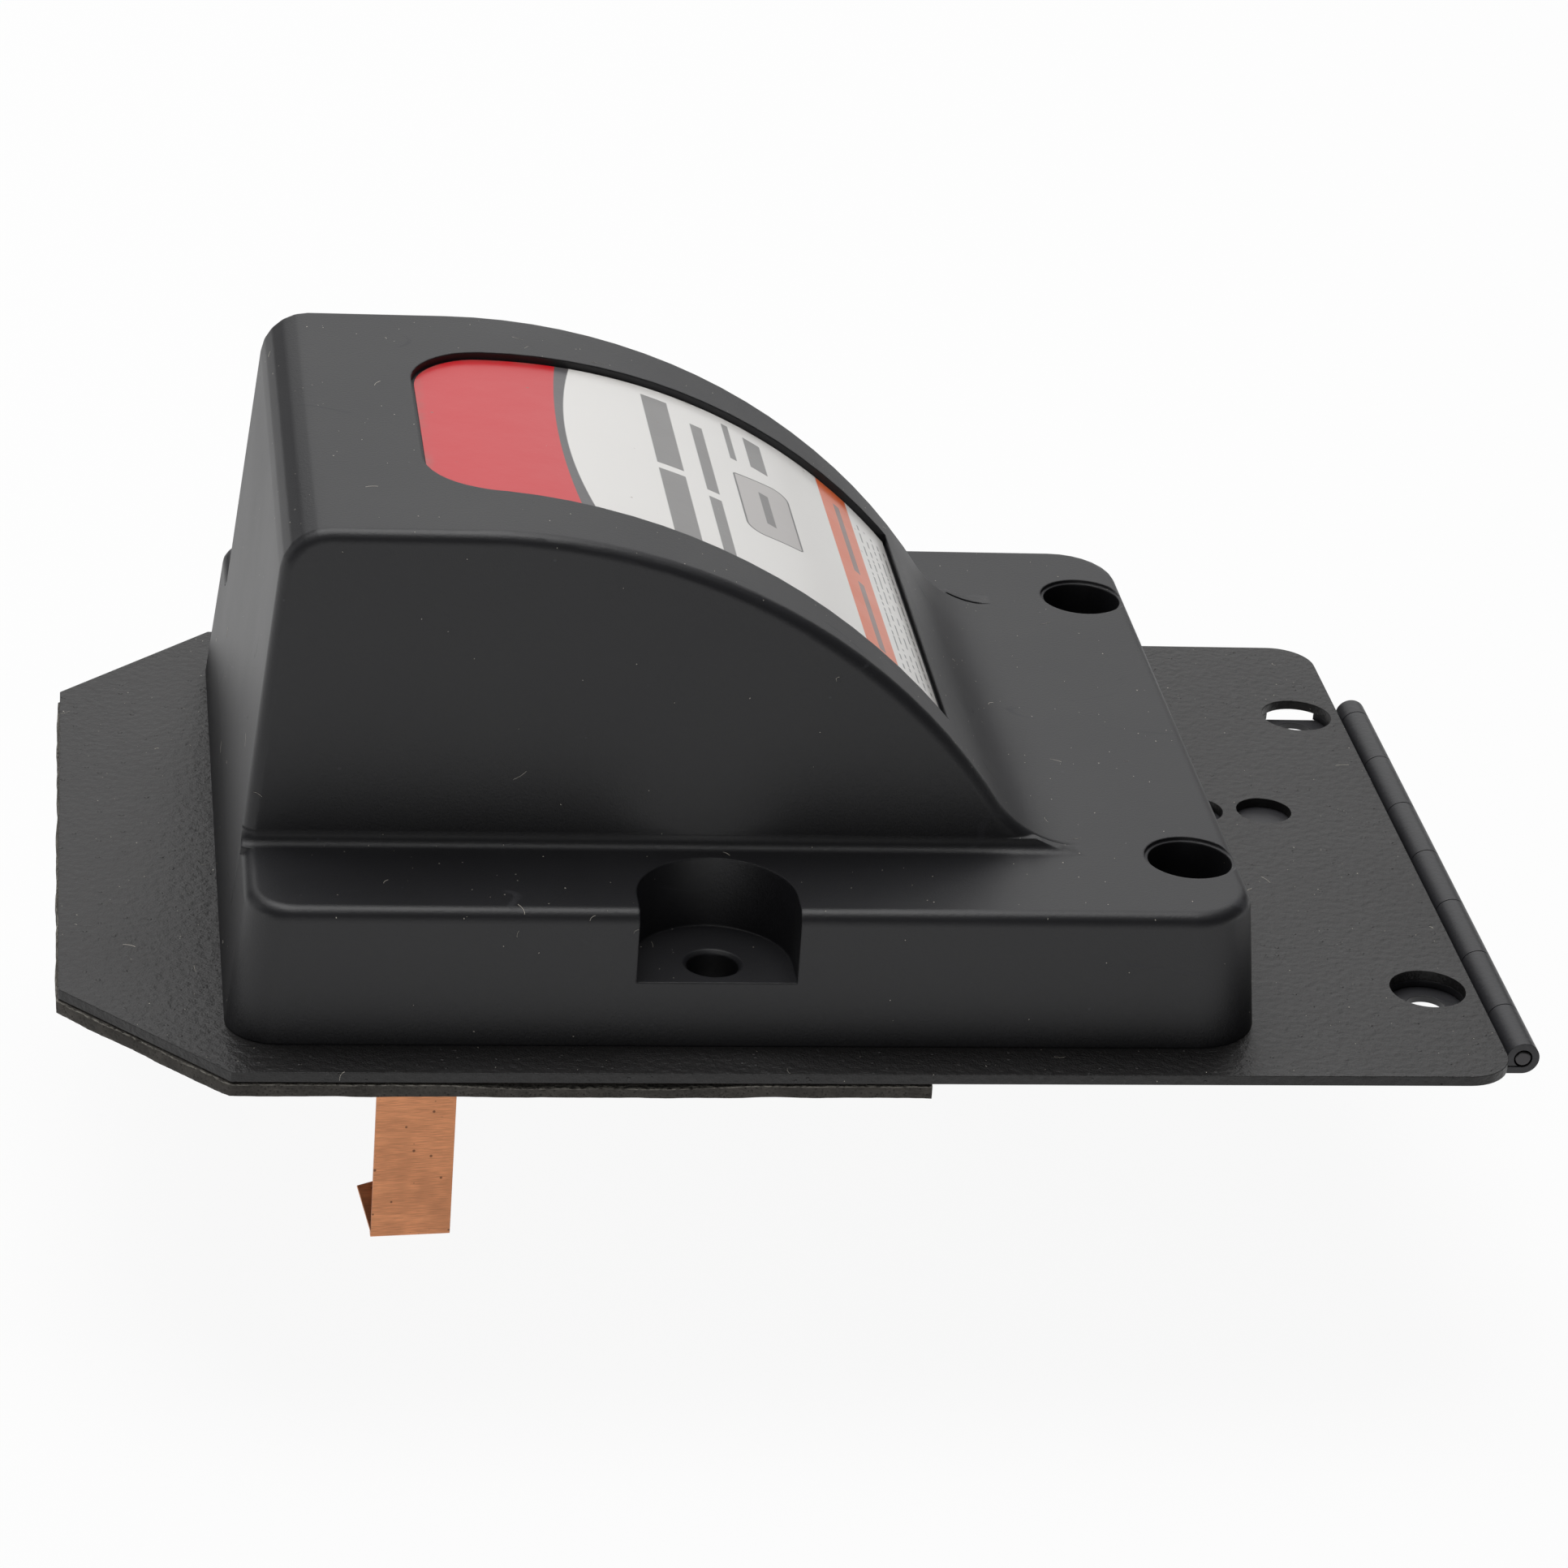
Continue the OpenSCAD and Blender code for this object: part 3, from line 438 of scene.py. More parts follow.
def cover_plastic(look):
    """Black moulded plastic: satin, finely grained, faintly clouded, lighter on its edges, partly as rubbed wear
    and partly as a painted highlight.
    """
    f = Finish("cover_plastic")
    patch = f.clouds(0.02, 4.0)
    broad = f.clouds(0.006, 2.0)
    grain = f.clouds(look.grain, 2.0)
    speck = f.specks(0.0022, 0.1, 0.1)
    scratch = f.hairlines(0.02, 0.0035, (0.25, 1.0, 1.0))
    edges = f.rounded(look.edge)
    base = f.mix(patch.rise(0.3, 0.7), tinted(look.plastic, 0.9), tinted(look.plastic, 1.12))
    # Edges lighter: partly rubbed wear, partly a painted highlight.
    base = f.mix(f.rubbed_and_highlit(edges) * 0.35, base, tinted(look.plastic, 2.2))
    base = f.mix(speck * 0.4 + scratch * 0.3, base, tinted(look.plastic, 4.0))
    height = grain * 0.7 + broad * 0.6 + f.clouds(look.grain * 0.4, 1.0) * 0.3
    return f.skin(
        base_color=base,
        roughness=patch.between(look.gloss - 0.05, look.gloss + 0.05) + scratch * 0.1,
        specular_ior_level=0.5,
        normal=f.relief(height, 0.00003, edges),
    )


def powder_coat(look):
    """Baked powder coat: rippled like orange peel, clouded, with painted highlight spots on its ripples, grit
    under it and fine scuffs.
    """
    f = Finish("powder_coat")
    peel = f.clouds(look.peel, 1.5)
    patch = f.clouds(0.025, 4.0)
    grit = f.specks(0.0014, 0.35, 0.2)
    scuff = f.hairlines(0.016, 0.004, (1.0, 0.3, 1.0))
    peel_highlight = f.clouds(look.peel * 0.7, 2.0)
    base = f.mix(patch.rise(0.3, 0.7), tinted(look.coat, 0.92), tinted(look.coat, 1.1))
    # Painted highlight: lighter spots at the size of the orange peel's ripples.
    base = f.mix(peel_highlight.rise(0.35, 0.75) * 0.5, base, tinted(look.coat, 1.5))
    base = f.mix(grit * 0.4 + scuff * 0.25, base, tinted(look.coat, 3.0))
    return f.skin(
        base_color=base,
        roughness=patch.between(look.gloss - 0.05, look.gloss + 0.07),
        specular_ior_level=0.42,
        normal=f.relief(peel + grit * 0.5 + f.clouds(look.peel * 0.25, 1.0) * 0.25, 0.00016),
    )


def bar(s, y, low, high, front, back, soft=0.07):
    """1 on a plain bar of the label, between two places along it and two across it."""
    return s.span(low, high, soft) * y.span(front, back, soft)


def small_print(f, s, y, first, last, rows):
    """1 on rows of fine broken lines that stand for small print."""
    step = (last - first) / rows
    row = (s - first) / step
    line = row.math("FRACT", row).span(0.34, 0.58, 0.06)
    where = f.add("ShaderNodeCombineXYZ", {}, [row.math("FLOOR", row) * 3.7, y * 0.8, 0.0])
    words = f.add("ShaderNodeTexNoise", {}, {"Vector": where, "Scale": 1.0, "Detail": 1.0}).rise(0.44, 0.48)
    return line * words * s.span(first, last, 0.05) * y.span(-20.0, 20.0, 0.1)


def badge_distance(s, y):
    """How far outside the badge a place lies, in millimetres: a leaning box with two round corners."""
    across = s - BADGE_PLACE[0]
    along = y - across * 0.35 - BADGE_PLACE[1]
    corner = (across * along).rise(-0.01, 0.01).between(0.5, 2.6)
    outside_s = abs(across) - BADGE_HALF[0] + corner
    outside_y = abs(along) - BADGE_HALF[1] + corner
    far_s = outside_s.most(0.0)
    far_y = outside_y.most(0.0)
    corner_part = far_s.math("SQRT", far_s * far_s + far_y * far_y)
    return corner_part + outside_s.most(outside_y).least(0.0) - corner


def label_film(look):
    """Printed film under a clear coat: plain fields of colour, and plain bars where print would be."""
    f = Finish("label_film")
    place = f.add("ShaderNodeAttribute", {"attribute_name": PRINT_PLACE}).out("Vector")
    s, y, edge = f.axes(place)
    bow = (y + 0.4) * (y + 0.4) / 400
    on_red = 1 - (s - bow * 1.1).rise(*RED_END)
    on_white = (s - bow * 1.8).rise(*WHITE_START)
    base = f.mix(on_white, f.mix(on_red, look.arc, look.red), look.white)
    base = f.mix(s.span(*ORANGE_BAND, 0.07), base, look.orange)
    badge = badge_distance(s, y)
    base = f.mix(1 - badge.rise(-0.05, 0.05), base, look.print_grey)
    base = f.mix(1 - badge.rise(-0.3, -0.2), base, look.badge)
    bars = small_print(f, s, y, *SMALL_PRINT, 5)
    for place_on_label in BARS:
        bars = bars.most(bar(s, y, *place_on_label))
    base = f.mix(bars * 0.85, base, look.print_grey)
    # Darker, in clouds, within 1.3 mm of the label's edge.
    darker_near_edge = (1 - edge.rise(0.0, 1.3)) * f.clouds(0.003, 3.0).rise(0.35, 0.75)
    base = f.mix(darker_near_edge * 0.35, base, eye(120, 112, 104))
    base = f.mix(f.specks(0.0019, 0.1, 0.12) * 0.5, base, eye(130, 108, 92))
    wave = f.clouds(0.006, 2.0)
    return f.skin(
        base_color=base,
        roughness=wave.between(look.gloss + 0.06, look.gloss + 0.16),
        coat_weight=0.12,
        coat_roughness=0.12,
        normal=f.relief(wave + f.clouds(0.0007, 2.0) * 0.12, 0.00006),
    )


def gasket_foam(look):
    """Dark closed-cell foam with painted shade in its pores, and a fibrous glue line along the upper edge of its
    cut sides.
    """
    f = Finish("gasket_foam")
    x, y, z = f.axes()
    pores = f.cells(0.00045)
    patch = f.clouds(0.004, 4.0)
    along = f.clouds(0.009, 3.0, f.stretched((1.0, 1.0, 0.0)))
    fray = f.clouds(0.0007, 3.0, f.stretched((1.0, 1.0, 3.0)))
    sagging = x.span(-0.1085, -0.0835, 0.006)
    line = z - (along * 0.00035 + 0.00122 - sagging * (look.sag * 0.8))
    glue = (1 - abs(line).rise(0.00003, 0.00015)) * fray.rise(0.36, 0.6)
    base = f.mix(patch.rise(0.3, 0.7), tinted(look.foam, 0.75), tinted(look.foam, 1.25))
    # Painted shade: the foam darker in its cut pores.
    base = f.mix(1 - pores.rise(0.1, 0.4), base, tinted(look.foam, 0.55))
    base = f.mix(glue * 0.6, base, look.glue)
    return f.skin(
        base_color=base,
        roughness=patch.between(0.82, 0.96),
        specular_ior_level=0.3,
        normal=f.relief(pores + fray * 0.7 + glue, 0.0001),
    )


def brushed_copper(look):
    """Copper strip, brushed across its width, darker and spotted towards its low end."""
    f = Finish("strap_copper")
    z = f.axes()[2]
    marks = f.clouds(look.brush, 2.0, f.stretched((0.035, 0.4, 1.0)))
    patch = f.clouds(0.004, 3.0)
    low = 1 - z.rise(-0.036, -0.012)
    spot = f.specks(0.0011, 0.45, 0.2)
    streak = f.clouds(0.0011, 2.0, f.stretched((0.08, 0.4, 1.0)))
    edges = f.rounded(0.00012)
    base = f.mix(marks.rise(0.3, 0.7), tinted(look.copper, 0.74), tinted(look.copper, 1.1))
    base = f.mix(streak.rise(0.5, 0.72) * 0.4, base, tinted(look.copper, 1.35))
    base = f.mix(low * patch.rise(0.3, 0.8) * 0.6, base, tinted(look.copper, 0.58))
    base = f.mix(spot * 0.75, base, eye(80, 52, 40))
    return f.skin(
        base_color=base,
        metallic=0.75,
        roughness=marks.between(0.38, 0.52) + low * 0.06,
        normal=f.relief(marks, 0.000012, edges),
    )


def glazed_ceramic(look):
    """Glazed insulator ceramic with faint patches and brown pinholes."""
    f = Finish("insulator_ceramic")
    patch = f.clouds(0.006, 3.0)
    base = f.mix(patch.rise(0.3, 0.7), tinted(look.ceramic, 0.9), look.ceramic)
    base = f.mix(f.specks(0.0017, 0.15, 0.12), base, eye(120, 92, 66))
    return f.skin(
        base_color=base,
        roughness=patch.between(0.16, 0.3),
        coat_weight=0.4,
        coat_roughness=0.08,
        normal=f.relief(f.clouds(0.0015, 2.0), 0.00003),
    )


def wound_wire(name, colour, pitch):
    """Enamelled wire wound side by side about a bobbin that lies along Y, with painted shade in the grooves
    between the turns.
    """
    f = Finish(name)
    y = f.axes()[1] * (2 * math.pi / pitch)
    ridge = abs(y.math("SINE", y))
    # Painted shade: the wire darker in the grooves between its turns.
    base = f.mix(ridge, tinted(colour, 0.35), colour)
    base = f.mix(f.clouds(0.003, 2.0).rise(0.55, 0.7) * 0.3, base, tinted(colour, 0.6))
    relief = f.relief(ridge, pitch * 0.3)
    return f.skin(base_color=base, metallic=0.8, roughness=ridge.between(0.5, 0.3), normal=relief)


def ramp(value, low, high):
    """0 below low, 1 above high, straight between them."""
    return min(1.0, max(0.0, (value - low) / (high - low)))


def joined_copy(node):
    """A CAD node's shape with its loose triangles joined and its flat faces made whole."""
    shape = bmesh.new()
    shape.from_mesh(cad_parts[node].data)
    flat = math.radians(FLAT_ANGLE)
    bmesh.ops.remove_doubles(shape, verts=shape.verts, dist=JOIN_GAP * MM)
    bmesh.ops.dissolve_degenerate(shape, dist=SLIVER * MM, edges=shape.edges)
    bmesh.ops.dissolve_limit(shape, angle_limit=flat, verts=shape.verts, edges=shape.edges)
    return shape


def add_object(name, data):
    """A new object at the origin, in the scene."""
    made = bpy.data.objects.new(name, data)
    bpy.context.scene.collection.objects.link(made)
    return made


def add_piece(name, shape, material):
    """A new object from a bmesh in metres."""
    mesh = bpy.data.meshes.new(name)
    shape.to_mesh(mesh)
    shape.free()
    mesh.materials.clear()
    mesh.materials.append(material)
    return add_object(name, mesh)


def settle(made):
    """Turns an object's modifiers into plain mesh."""
    graph = bpy.context.evaluated_depsgraph_get()
    graph.update()
    shown = made.evaluated_get(graph)
    mesh = bpy.data.meshes.new_from_object(shown, preserve_all_data_layers=True, depsgraph=graph)
    made.modifiers.clear()
    made.data = mesh
    return made


def smoothed(made, sharp=32.0):
    """Shades an object smooth up to an angle in degrees, each point led by its largest faces."""
    shape = bmesh.new()
    shape.from_mesh(made.data)
    for face in shape.faces:
        face.smooth = True
    for edge in shape.edges:
        edge.smooth = edge.calc_face_angle(0.0) < math.radians(sharp)
    shape.to_mesh(made.data)
    shape.free()
    led = made.modifiers.new("led_by_large_faces", "WEIGHTED_NORMAL")
    led.keep_sharp = True
    return settle(made)


def fit_in(made, body, slot, *nodes):
    """Lets a piece ride on its body and stand for its CAD nodes, which it hides. The slot is not used."""
    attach(made, body)
    if nodes:
        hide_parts(*nodes)
    return made


def dressed(name, node, material, body, slot, bevel=0.0):
    """A smooth copy of a CAD node, with rounded edges where asked for, that stands for the node."""
    made = add_piece(name, joined_copy(node), material)
    if bevel:
        cut = made.modifiers.new("rounded_edges", "BEVEL")
        cut.width = bevel
        cut.segments = 3
        cut.limit_method = "ANGLE"
        cut.angle_limit = math.radians(BEVEL_ANGLE)
        settle(made)
    return fit_in(smoothed(made), body, slot, node)


def drifting(place):
    """A smooth offset whose parts go from -1 to 1, always the same at the same place."""
    return Vector([noise.noise(place + Vector((away, 0, 0))) for away in (0, 31.7, 67.3)])


def loft(rings, closed=False):
    """A shell through rings of equally many points, its ends capped or joined to each other."""
    shape = bmesh.new()
    rows = [[shape.verts.new(Vector(p) * MM) for p in ring] for ring in rings]
    pairs = list(zip(rows, rows[1:]))
    if closed:
        pairs.append((rows[-1], rows[0]))
    for lower, upper in pairs:
        for i in range(len(lower)):
            j = (i + 1) % len(lower)
            shape.faces.new((lower[i], lower[j], upper[j], upper[i]))
    if not closed:
        shape.faces.new(rows[0][::-1])
        shape.faces.new(rows[-1])
    bmesh.ops.recalc_face_normals(shape, faces=shape.faces)
    return shape


def ring(radius, z, steps=48, squeeze=None):
    """One level ring, whose radius may be limited by the angle."""
    points = []
    for i in range(steps):
        angle = 2 * math.pi * i / steps
        r = min(radius, squeeze(angle)) if squeeze else radius
        points.append((r * math.cos(angle), r * math.sin(angle), z))
    return points


def threaded_rod(radius, low, high, pitch, steps=32):
    """A rod along Z with a screw thread in it and a chamfer at each end."""
    depth = 0.55 * pitch
    rows = round((high - low) / pitch * 8)
    rings = []
    for k in range(rows + 1):
        z = low + (high - low) * k / rows
        most = radius - max(0.0, depth * 1.3 - min(z - low, high - z))
        points = []
        for i in range(steps):
            turn = i / steps
            groove = abs(2 * ((z / pitch - turn) % 1.0) - 1)
            r = min(most, radius - depth * min(1.0, max(0.0, groove * 1.3 - 0.15)))
            points.append((r * math.cos(2 * math.pi * turn), r * math.sin(2 * math.pi * turn), z))
        rings.append(points)
    return loft(rings)


def shifted(shape, x, y, z=0.0):
    """A shape moved by millimetres."""
    bmesh.ops.translate(shape, vec=Vector((x, y, z)) * MM, verts=shape.verts)
    return shape


def label_sheet(look):
    """The label's upper face as a grid on the crest and the curve, with each point's place on the print."""
    gap = look.gap / MM
    radius = HUMP_R - RECESS_DEPTH + LABEL_T
    corner = RECESS_CORNER - gap
    corner_x = RECESS_X0 + RECESS_CORNER
    slope = math.tan(RECESS_FLARE)
    corner_y = RECESS_W / 2 - (RECESS_X1 - corner_x) * slope - RECESS_CORNER / math.cos(RECESS_FLARE)
    sweep = math.pi / 2 - RECESS_FLARE
    turns = [sweep * i / 14 for i in range(15)]
    outline = [(corner_x - corner * math.cos(t), corner_y + corner * math.sin(t)) for t in turns]
    start = outline[-1][0]
    steps = 72
    for i in range(1, steps + 1):
        x = start + (RECESS_X1 - gap - start) * i / steps
        outline.append((x, RECESS_W / 2 - (RECESS_X1 - x) * slope - gap / math.cos(RECESS_FLARE)))
    shape = bmesh.new()
    print_place = shape.verts.layers.float_vector.new(PRINT_PLACE)
    rows = 30
    grid = []
    runs = [x - ARC_X if x <= ARC_X else radius * math.asin((x - ARC_X) / radius) for x, half in outline]
    for (x, half), run in zip(outline, runs):
        z = ARC_Z + (radius if run <= 0 else radius * math.cos(run / radius))
        column = []
        for j in range(rows + 1):
            y = half * (2 * j / rows - 1)
            vert = shape.verts.new(Vector((x, y, z)) * MM)
            vert[print_place] = (run, y, min(half - abs(y), run - runs[0], runs[-1] - run))
            column.append(vert)
        grid.append(column)
    for left, right in zip(grid, grid[1:]):
        for j in range(rows):
            shape.faces.new((left[j], right[j], right[j + 1], left[j + 1]))
    return shape


def node_input(tree, name, kind, default=None):
    """A named input of a Geometry Nodes tree."""
    item = tree.interface.new_socket(name, in_out="INPUT", socket_type=kind)
    if default is not None:
        item.default_value = default
    return item


def geometry_tree(name, inputs):
    """A Geometry Nodes tree with named inputs, the wires of those inputs and its output node."""
    tree = bpy.data.node_groups.new(name, "GeometryNodeTree")
    tree.is_modifier = True
    tree.interface.new_socket("Geometry", in_out="OUTPUT", socket_type="NodeSocketGeometry")
    node_input(tree, "Geometry", "NodeSocketGeometry")
    for label, (kind, default) in inputs.items():
        node_input(tree, label, kind, default)
    g = Nodes(tree)
    start = g.add("NodeGroupInput")
    wires = {item.name: start.out(item.name) for item in tree.interface.items_tree if item.in_out == "INPUT"}
    return g, wires


def finish_tree(g, geometry, material):
    """Ends a tree: what it made becomes real mesh with its material."""
    real = g.add("GeometryNodeRealizeInstances", {}, [geometry])
    painted = g.add("GeometryNodeSetMaterial", {}, {"Geometry": real, "Material": material})
    g.add("NodeGroupOutput", {}, [painted])
    return g.tree


def run_tree(made, tree, values):
    """Gives an object a Geometry Nodes modifier with its inputs by name, and turns it into mesh."""
    modifier = made.modifiers.new(tree.name, "NODES")
    modifier.node_group = tree
    names = {item.name: item.identifier for item in tree.interface.items_tree if item.in_out == "INPUT"}
    for name, value in values.items():
        modifier[names[name]] = value
    return settle(made)


def chance_turn(g, seed):
    """A turn about Z by chance."""
    limits = {"Min": 0.0, "Max": 2 * math.pi, "Seed": seed}
    turn = g.add("FunctionNodeRandomValue", {"data_type": "FLOAT"}, limits, 1)
    return g.add("ShaderNodeCombineXYZ", {}, {"Z": turn})


def set_copies(g, points, shape, turn, size=None):
    """Sets one shape at each point, turned and scaled."""
    sockets = {"Points": points, "Instance": shape, "Rotation": turn, "Scale": size}
    return g.add("GeometryNodeInstanceOnPoints", {}, sockets)


def copies_tree():
    """Sets one shape at each point of a mesh, each turned about Z by chance."""
    g, given = geometry_tree(
        "fasteners_at_points",
        {
            "Shape": ("NodeSocketObject", None),
            "Seed": ("NodeSocketInt", 0),
            "Finish": ("NodeSocketMaterial", None),
        },
    )
    shape = g.add("GeometryNodeObjectInfo", {}, {"Object": given["Shape"]}).out("Geometry")
    copies = set_copies(g, given["Geometry"], shape, chance_turn(g, given["Seed"]))
    return finish_tree(g, copies, given["Finish"])


def dust_tree():
    """Scatters flecks and bits of lint on the faces of a mesh that look up or outwards."""
    g, given = geometry_tree(
        "dust_on_faces",
        {
            "Flecks per area": ("NodeSocketFloat", 20000.0),
            "Fleck radius": ("NodeSocketFloat", 0.0001),
            "Lint per area": ("NodeSocketFloat", 2000.0),
            "Lint length": ("NodeSocketFloat", 0.0008),
            "Seed": ("NodeSocketInt", 0),
            "Finish": ("NodeSocketMaterial", None),
        },
    )
    facing = g.add("GeometryNodeInputNormal")
    up = g.add("ShaderNodeSeparateXYZ", {}, [facing]).out("Z")
    thinned = up.rise(-0.3, 0.9) + 0.04
    fleck = g.add("GeometryNodeMeshIcoSphere", {}, {"Radius": given["Fleck radius"], "Subdivisions": 1})
    half = given["Lint length"] * 0.5
    bend = g.add(
        "GeometryNodeCurveQuadraticBezier",
        {},
        {
            "Resolution": 5,
            "Start": g.add("ShaderNodeCombineXYZ", {}, {"X": half * -1.0}),
            "Middle": g.add("ShaderNodeCombineXYZ", {}, {"Y": half * 0.7}),
            "End": g.add("ShaderNodeCombineXYZ", {}, {"X": half}),
        },
    )
    girth = {"Resolution": 3, "Radius": given["Lint length"] * 0.03}
    thin = g.add("GeometryNodeCurvePrimitiveCircle", {}, girth)
    lint = g.add("GeometryNodeCurveToMesh", {}, {"Curve": bend, "Profile Curve": thin, "Fill Caps": True})
    parts = []
    for shape, density, flat, offset in (
        (fleck, given["Flecks per area"], 0.45, 0),
        (lint, given["Lint per area"], 1.0, 50),
    ):
        seed = given["Seed"] + offset
        spots = g.add(
            "GeometryNodeDistributePointsOnFaces",
            {"distribute_method": "RANDOM"},
            {"Mesh": given["Geometry"], "Density": density * thinned, "Seed": seed},
        )
        turned = g.add(
            "FunctionNodeRotateRotation",
            {"rotation_space": "LOCAL"},
            {"Rotation": spots.out("Rotation"), "Rotate By": chance_turn(g, seed + 1)},
        )
        size = g.add(
            "FunctionNodeRandomValue",
            {"data_type": "FLOAT_VECTOR"},
            {"Min": (0.5, 0.4, flat * 0.6), "Max": (2.0, 1.3, flat), "Seed": seed + 2},
        )
        parts.append(set_copies(g, spots, shape, turned, size))
    return finish_tree(g, g.add("GeometryNodeJoinGeometry", {}, {"Geometry": parts}), given["Finish"])


def points_object(name, places):
    """A mesh of single points, in millimetres."""
    mesh = bpy.data.meshes.new(name)
    mesh.from_pydata([Vector(p) * MM for p in places], [], [])
    return add_object(name, mesh)


def set_fasteners(name, pattern, places, seed, material, body, slot, node):
    """Sets a fastener at each place, as one mesh that stands for its CAD node."""
    tree = bpy.data.node_groups.get("fasteners_at_points") or copies_tree()
    made = points_object(name, places)
    run_tree(made, tree, {"Shape": pattern, "Seed": seed, "Finish": material})
    bpy.data.objects.remove(pattern)
    return fit_in(smoothed(made), body, slot, node)


def cross_cutter(half_width):
    """A tapered cross that cuts the slot in a screw's head, which looks down."""
    rings = []
    for z, reach, wide in ((-1.7, 1.95, half_width * 1.25), (-0.15, 1.0, half_width * 0.7)):
        corner = ((reach, wide), (wide, wide), (wide, reach))
        points = []
        for quarter in range(4):
            turn = Matrix.Rotation(quarter * math.pi / 2, 2)
            points += [(*(turn @ Vector(p)), z) for p in corner]
        rings.append(points)
    return loft(rings)


def screw_shape(half_width, material):
    """A pan-head screw that points up from the underside of the plate, with a cross slot."""
    dome = [(2.0, -1.4), (2.5, -1.34), (2.9, -1.18), (3.12, -0.92), (3.2, -0.6), (3.2, -0.08), (3.12, 0.0)]
    shank = [(1.6, 0.0), (1.6, 9.6), (1.2, 10.2)]
    made = add_piece("screw_pattern", loft([ring(r, z) for r, z in dome + shank]), material)
    cutter = add_piece("screw_cutter", cross_cutter(half_width), material)
    slot = made.modifiers.new("cross_slot", "BOOLEAN")
    slot.object = cutter
    slot.operation = "DIFFERENCE"
    slot.solver = "EXACT"
    settle(made)
    bpy.data.objects.remove(cutter)
    return made


def nut_shape(material):
    """A hexagon nut with turned chamfers and a countersunk bore."""
    flat = 4.0 * math.cos(math.pi / 6)
    height = 2.5
    steps = 72

    def hexagon(angle):
        off = (angle % (math.pi / 3)) - math.pi / 6
        return flat / math.cos(off)

    chamfer = (0.0, 0.12, 0.24, 0.38)
    levels = [(z, z) for z in chamfer] + [(z, height - z) for z in reversed(chamfer)]
    outer = [ring(flat * 0.96 + depth * 1.7, z, steps, hexagon) for depth, z in levels]
    bore = [ring(r, z, steps) for r, z in ((2.5, height), (2.02, height - 0.4), (2.02, 0.4), (2.5, 0.0))]
    return add_piece("nut_pattern", loft(outer + bore, closed=True), material)


def paint_node(node, material):
    """Gives a CAD node that keeps its shape its finish."""
    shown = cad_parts[node]
    if not shown.material_slots:
        shown.data.materials.append(material)
    shown.material_slots[0].link = "OBJECT"
    shown.material_slots[0].material = material


class IGNITER_OT_cover(bpy.types.Operator):
    """Make the moulded cover"""

    bl_idname = "igniter.cover"
    bl_label = "Cover"

    def execute(self, context):
        look = context.scene.igniter_cover
        dressed("cover_shell", "cover", cover_plastic(look), SWINGING, "cover_plastic")
        return {"FINISHED"}


class IGNITER_OT_label(bpy.types.Operator):
    """Make the label in its recess"""

    bl_idname = "igniter.label"
    bl_label = "Label"

    def execute(self, context):
        look = context.scene.igniter_label
        made = add_piece("label_sheet", label_sheet(look), label_film(look))
        body = made.modifiers.new("film", "SOLIDIFY")
        body.thickness = 0.95 * LABEL_T * MM
        body.offset = -1
        settle(made)
        fit_in(smoothed(made, 40.0), SWINGING, "label_film", "label")
        return {"FINISHED"}


class IGNITER_OT_plate(bpy.types.Operator):
    """Make the coated base plate"""

    bl_idname = "igniter.plate"
    bl_label = "Base plate"

    def execute(self, context):
        look = context.scene.igniter_plate
        dressed("coated_plate", "base_plate", powder_coat(look), SWINGING, "powder_coat", look.edge)
        return {"FINISHED"}


class IGNITER_OT_gasket(bpy.types.Operator):
    """Make the foam gasket with its wandering edge"""

    bl_idname = "igniter.gasket"
    bl_label = "Gasket"

    def execute(self, context):
        look = context.scene.igniter_gasket
        made = add_piece("foam_gasket", joined_copy("gasket"), gasket_foam(look))
        cells = made.modifiers.new("foam_cells", "REMESH")
        cells.mode = "VOXEL"
        cells.voxel_size = look.cell
        settle(made)
        for vert in made.data.vertices:
            self.wander(vert.co, look)
        fit_in(smoothed(made, 60.0), SWINGING, "gasket_foam", "gasket")
        return {"FINISHED"}

    @staticmethod
    def wander(place, look):
        """Moves a point of the foam: waves along the cut edges, and a sag where the front edge hangs."""
        x, y, z = place / MM
        drift = drifting(place / (5.5 * MM)) * look.wave
        fine = drifting(place / (1.4 * MM)) * look.wave * 0.35
        height = 1.0 - (PLATE_UNDERSIDE - z) / GASKET_T
        at_front = ramp(-y, -SAG_Y, SAG_EASE_Y - SAG_Y)
        over = ramp(x, SAG_X[0], SAG_X[0] + SAG_EASE_X) * ramp(-x, -SAG_X[1], SAG_EASE_X - SAG_X[1])
        place.x += drift.x + fine.x
        place.y += drift.y + fine.y
        if height < 0.5:
            place.z += (drift.z + fine.z) * 0.5
        place.z -= look.sag * at_front * over * max(0.0, height)


class IGNITER_OT_hinge(bpy.types.Operator):
    """Make the hinge leaves and the pin"""

    bl_idname = "igniter.hinge"
    bl_label = "Hinge"

    def execute(self, context):
        look = context.scene.igniter_hinge
        black = plain_finish("hinge_black", look.black, 0.42, grain=0.0006, depth=0.00003, edge=look.edge)
        steel = plain_finish("pin_steel", look.steel, 0.35, 1.0, 0.0002)
        dressed("standing_leaf", "hinge_free_leaf", black, STANDING, "hinge_black")
        dressed("plate_leaf", "hinge_fixed_leaf", black, SWINGING, "hinge_black")
        low, high = (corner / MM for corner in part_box("hinge_pin"))
        radius = (high.x - low.x) / 2
        span = high.y - low.y
        end = ((0.0, 0.6), (0.08, 0.82), (0.25, 0.96), (0.5, 1.0))
        turned = [(y, r) for y, r in end] + [(span - y, r) for y, r in reversed(end)]
        shape = loft([ring(r * radius, y, 40) for y, r in turned])
        bmesh.ops.rotate(shape, matrix=Matrix.Rotation(math.pi / 2, 3, "X"), verts=shape.verts)
        shifted(shape, (low.x + high.x) / 2, high.y, (low.z + high.z) / 2)
        fit_in(smoothed(add_piece("turned_pin", shape, steel)), STANDING, "pin_steel", "hinge_pin")
        return {"FINISHED"}


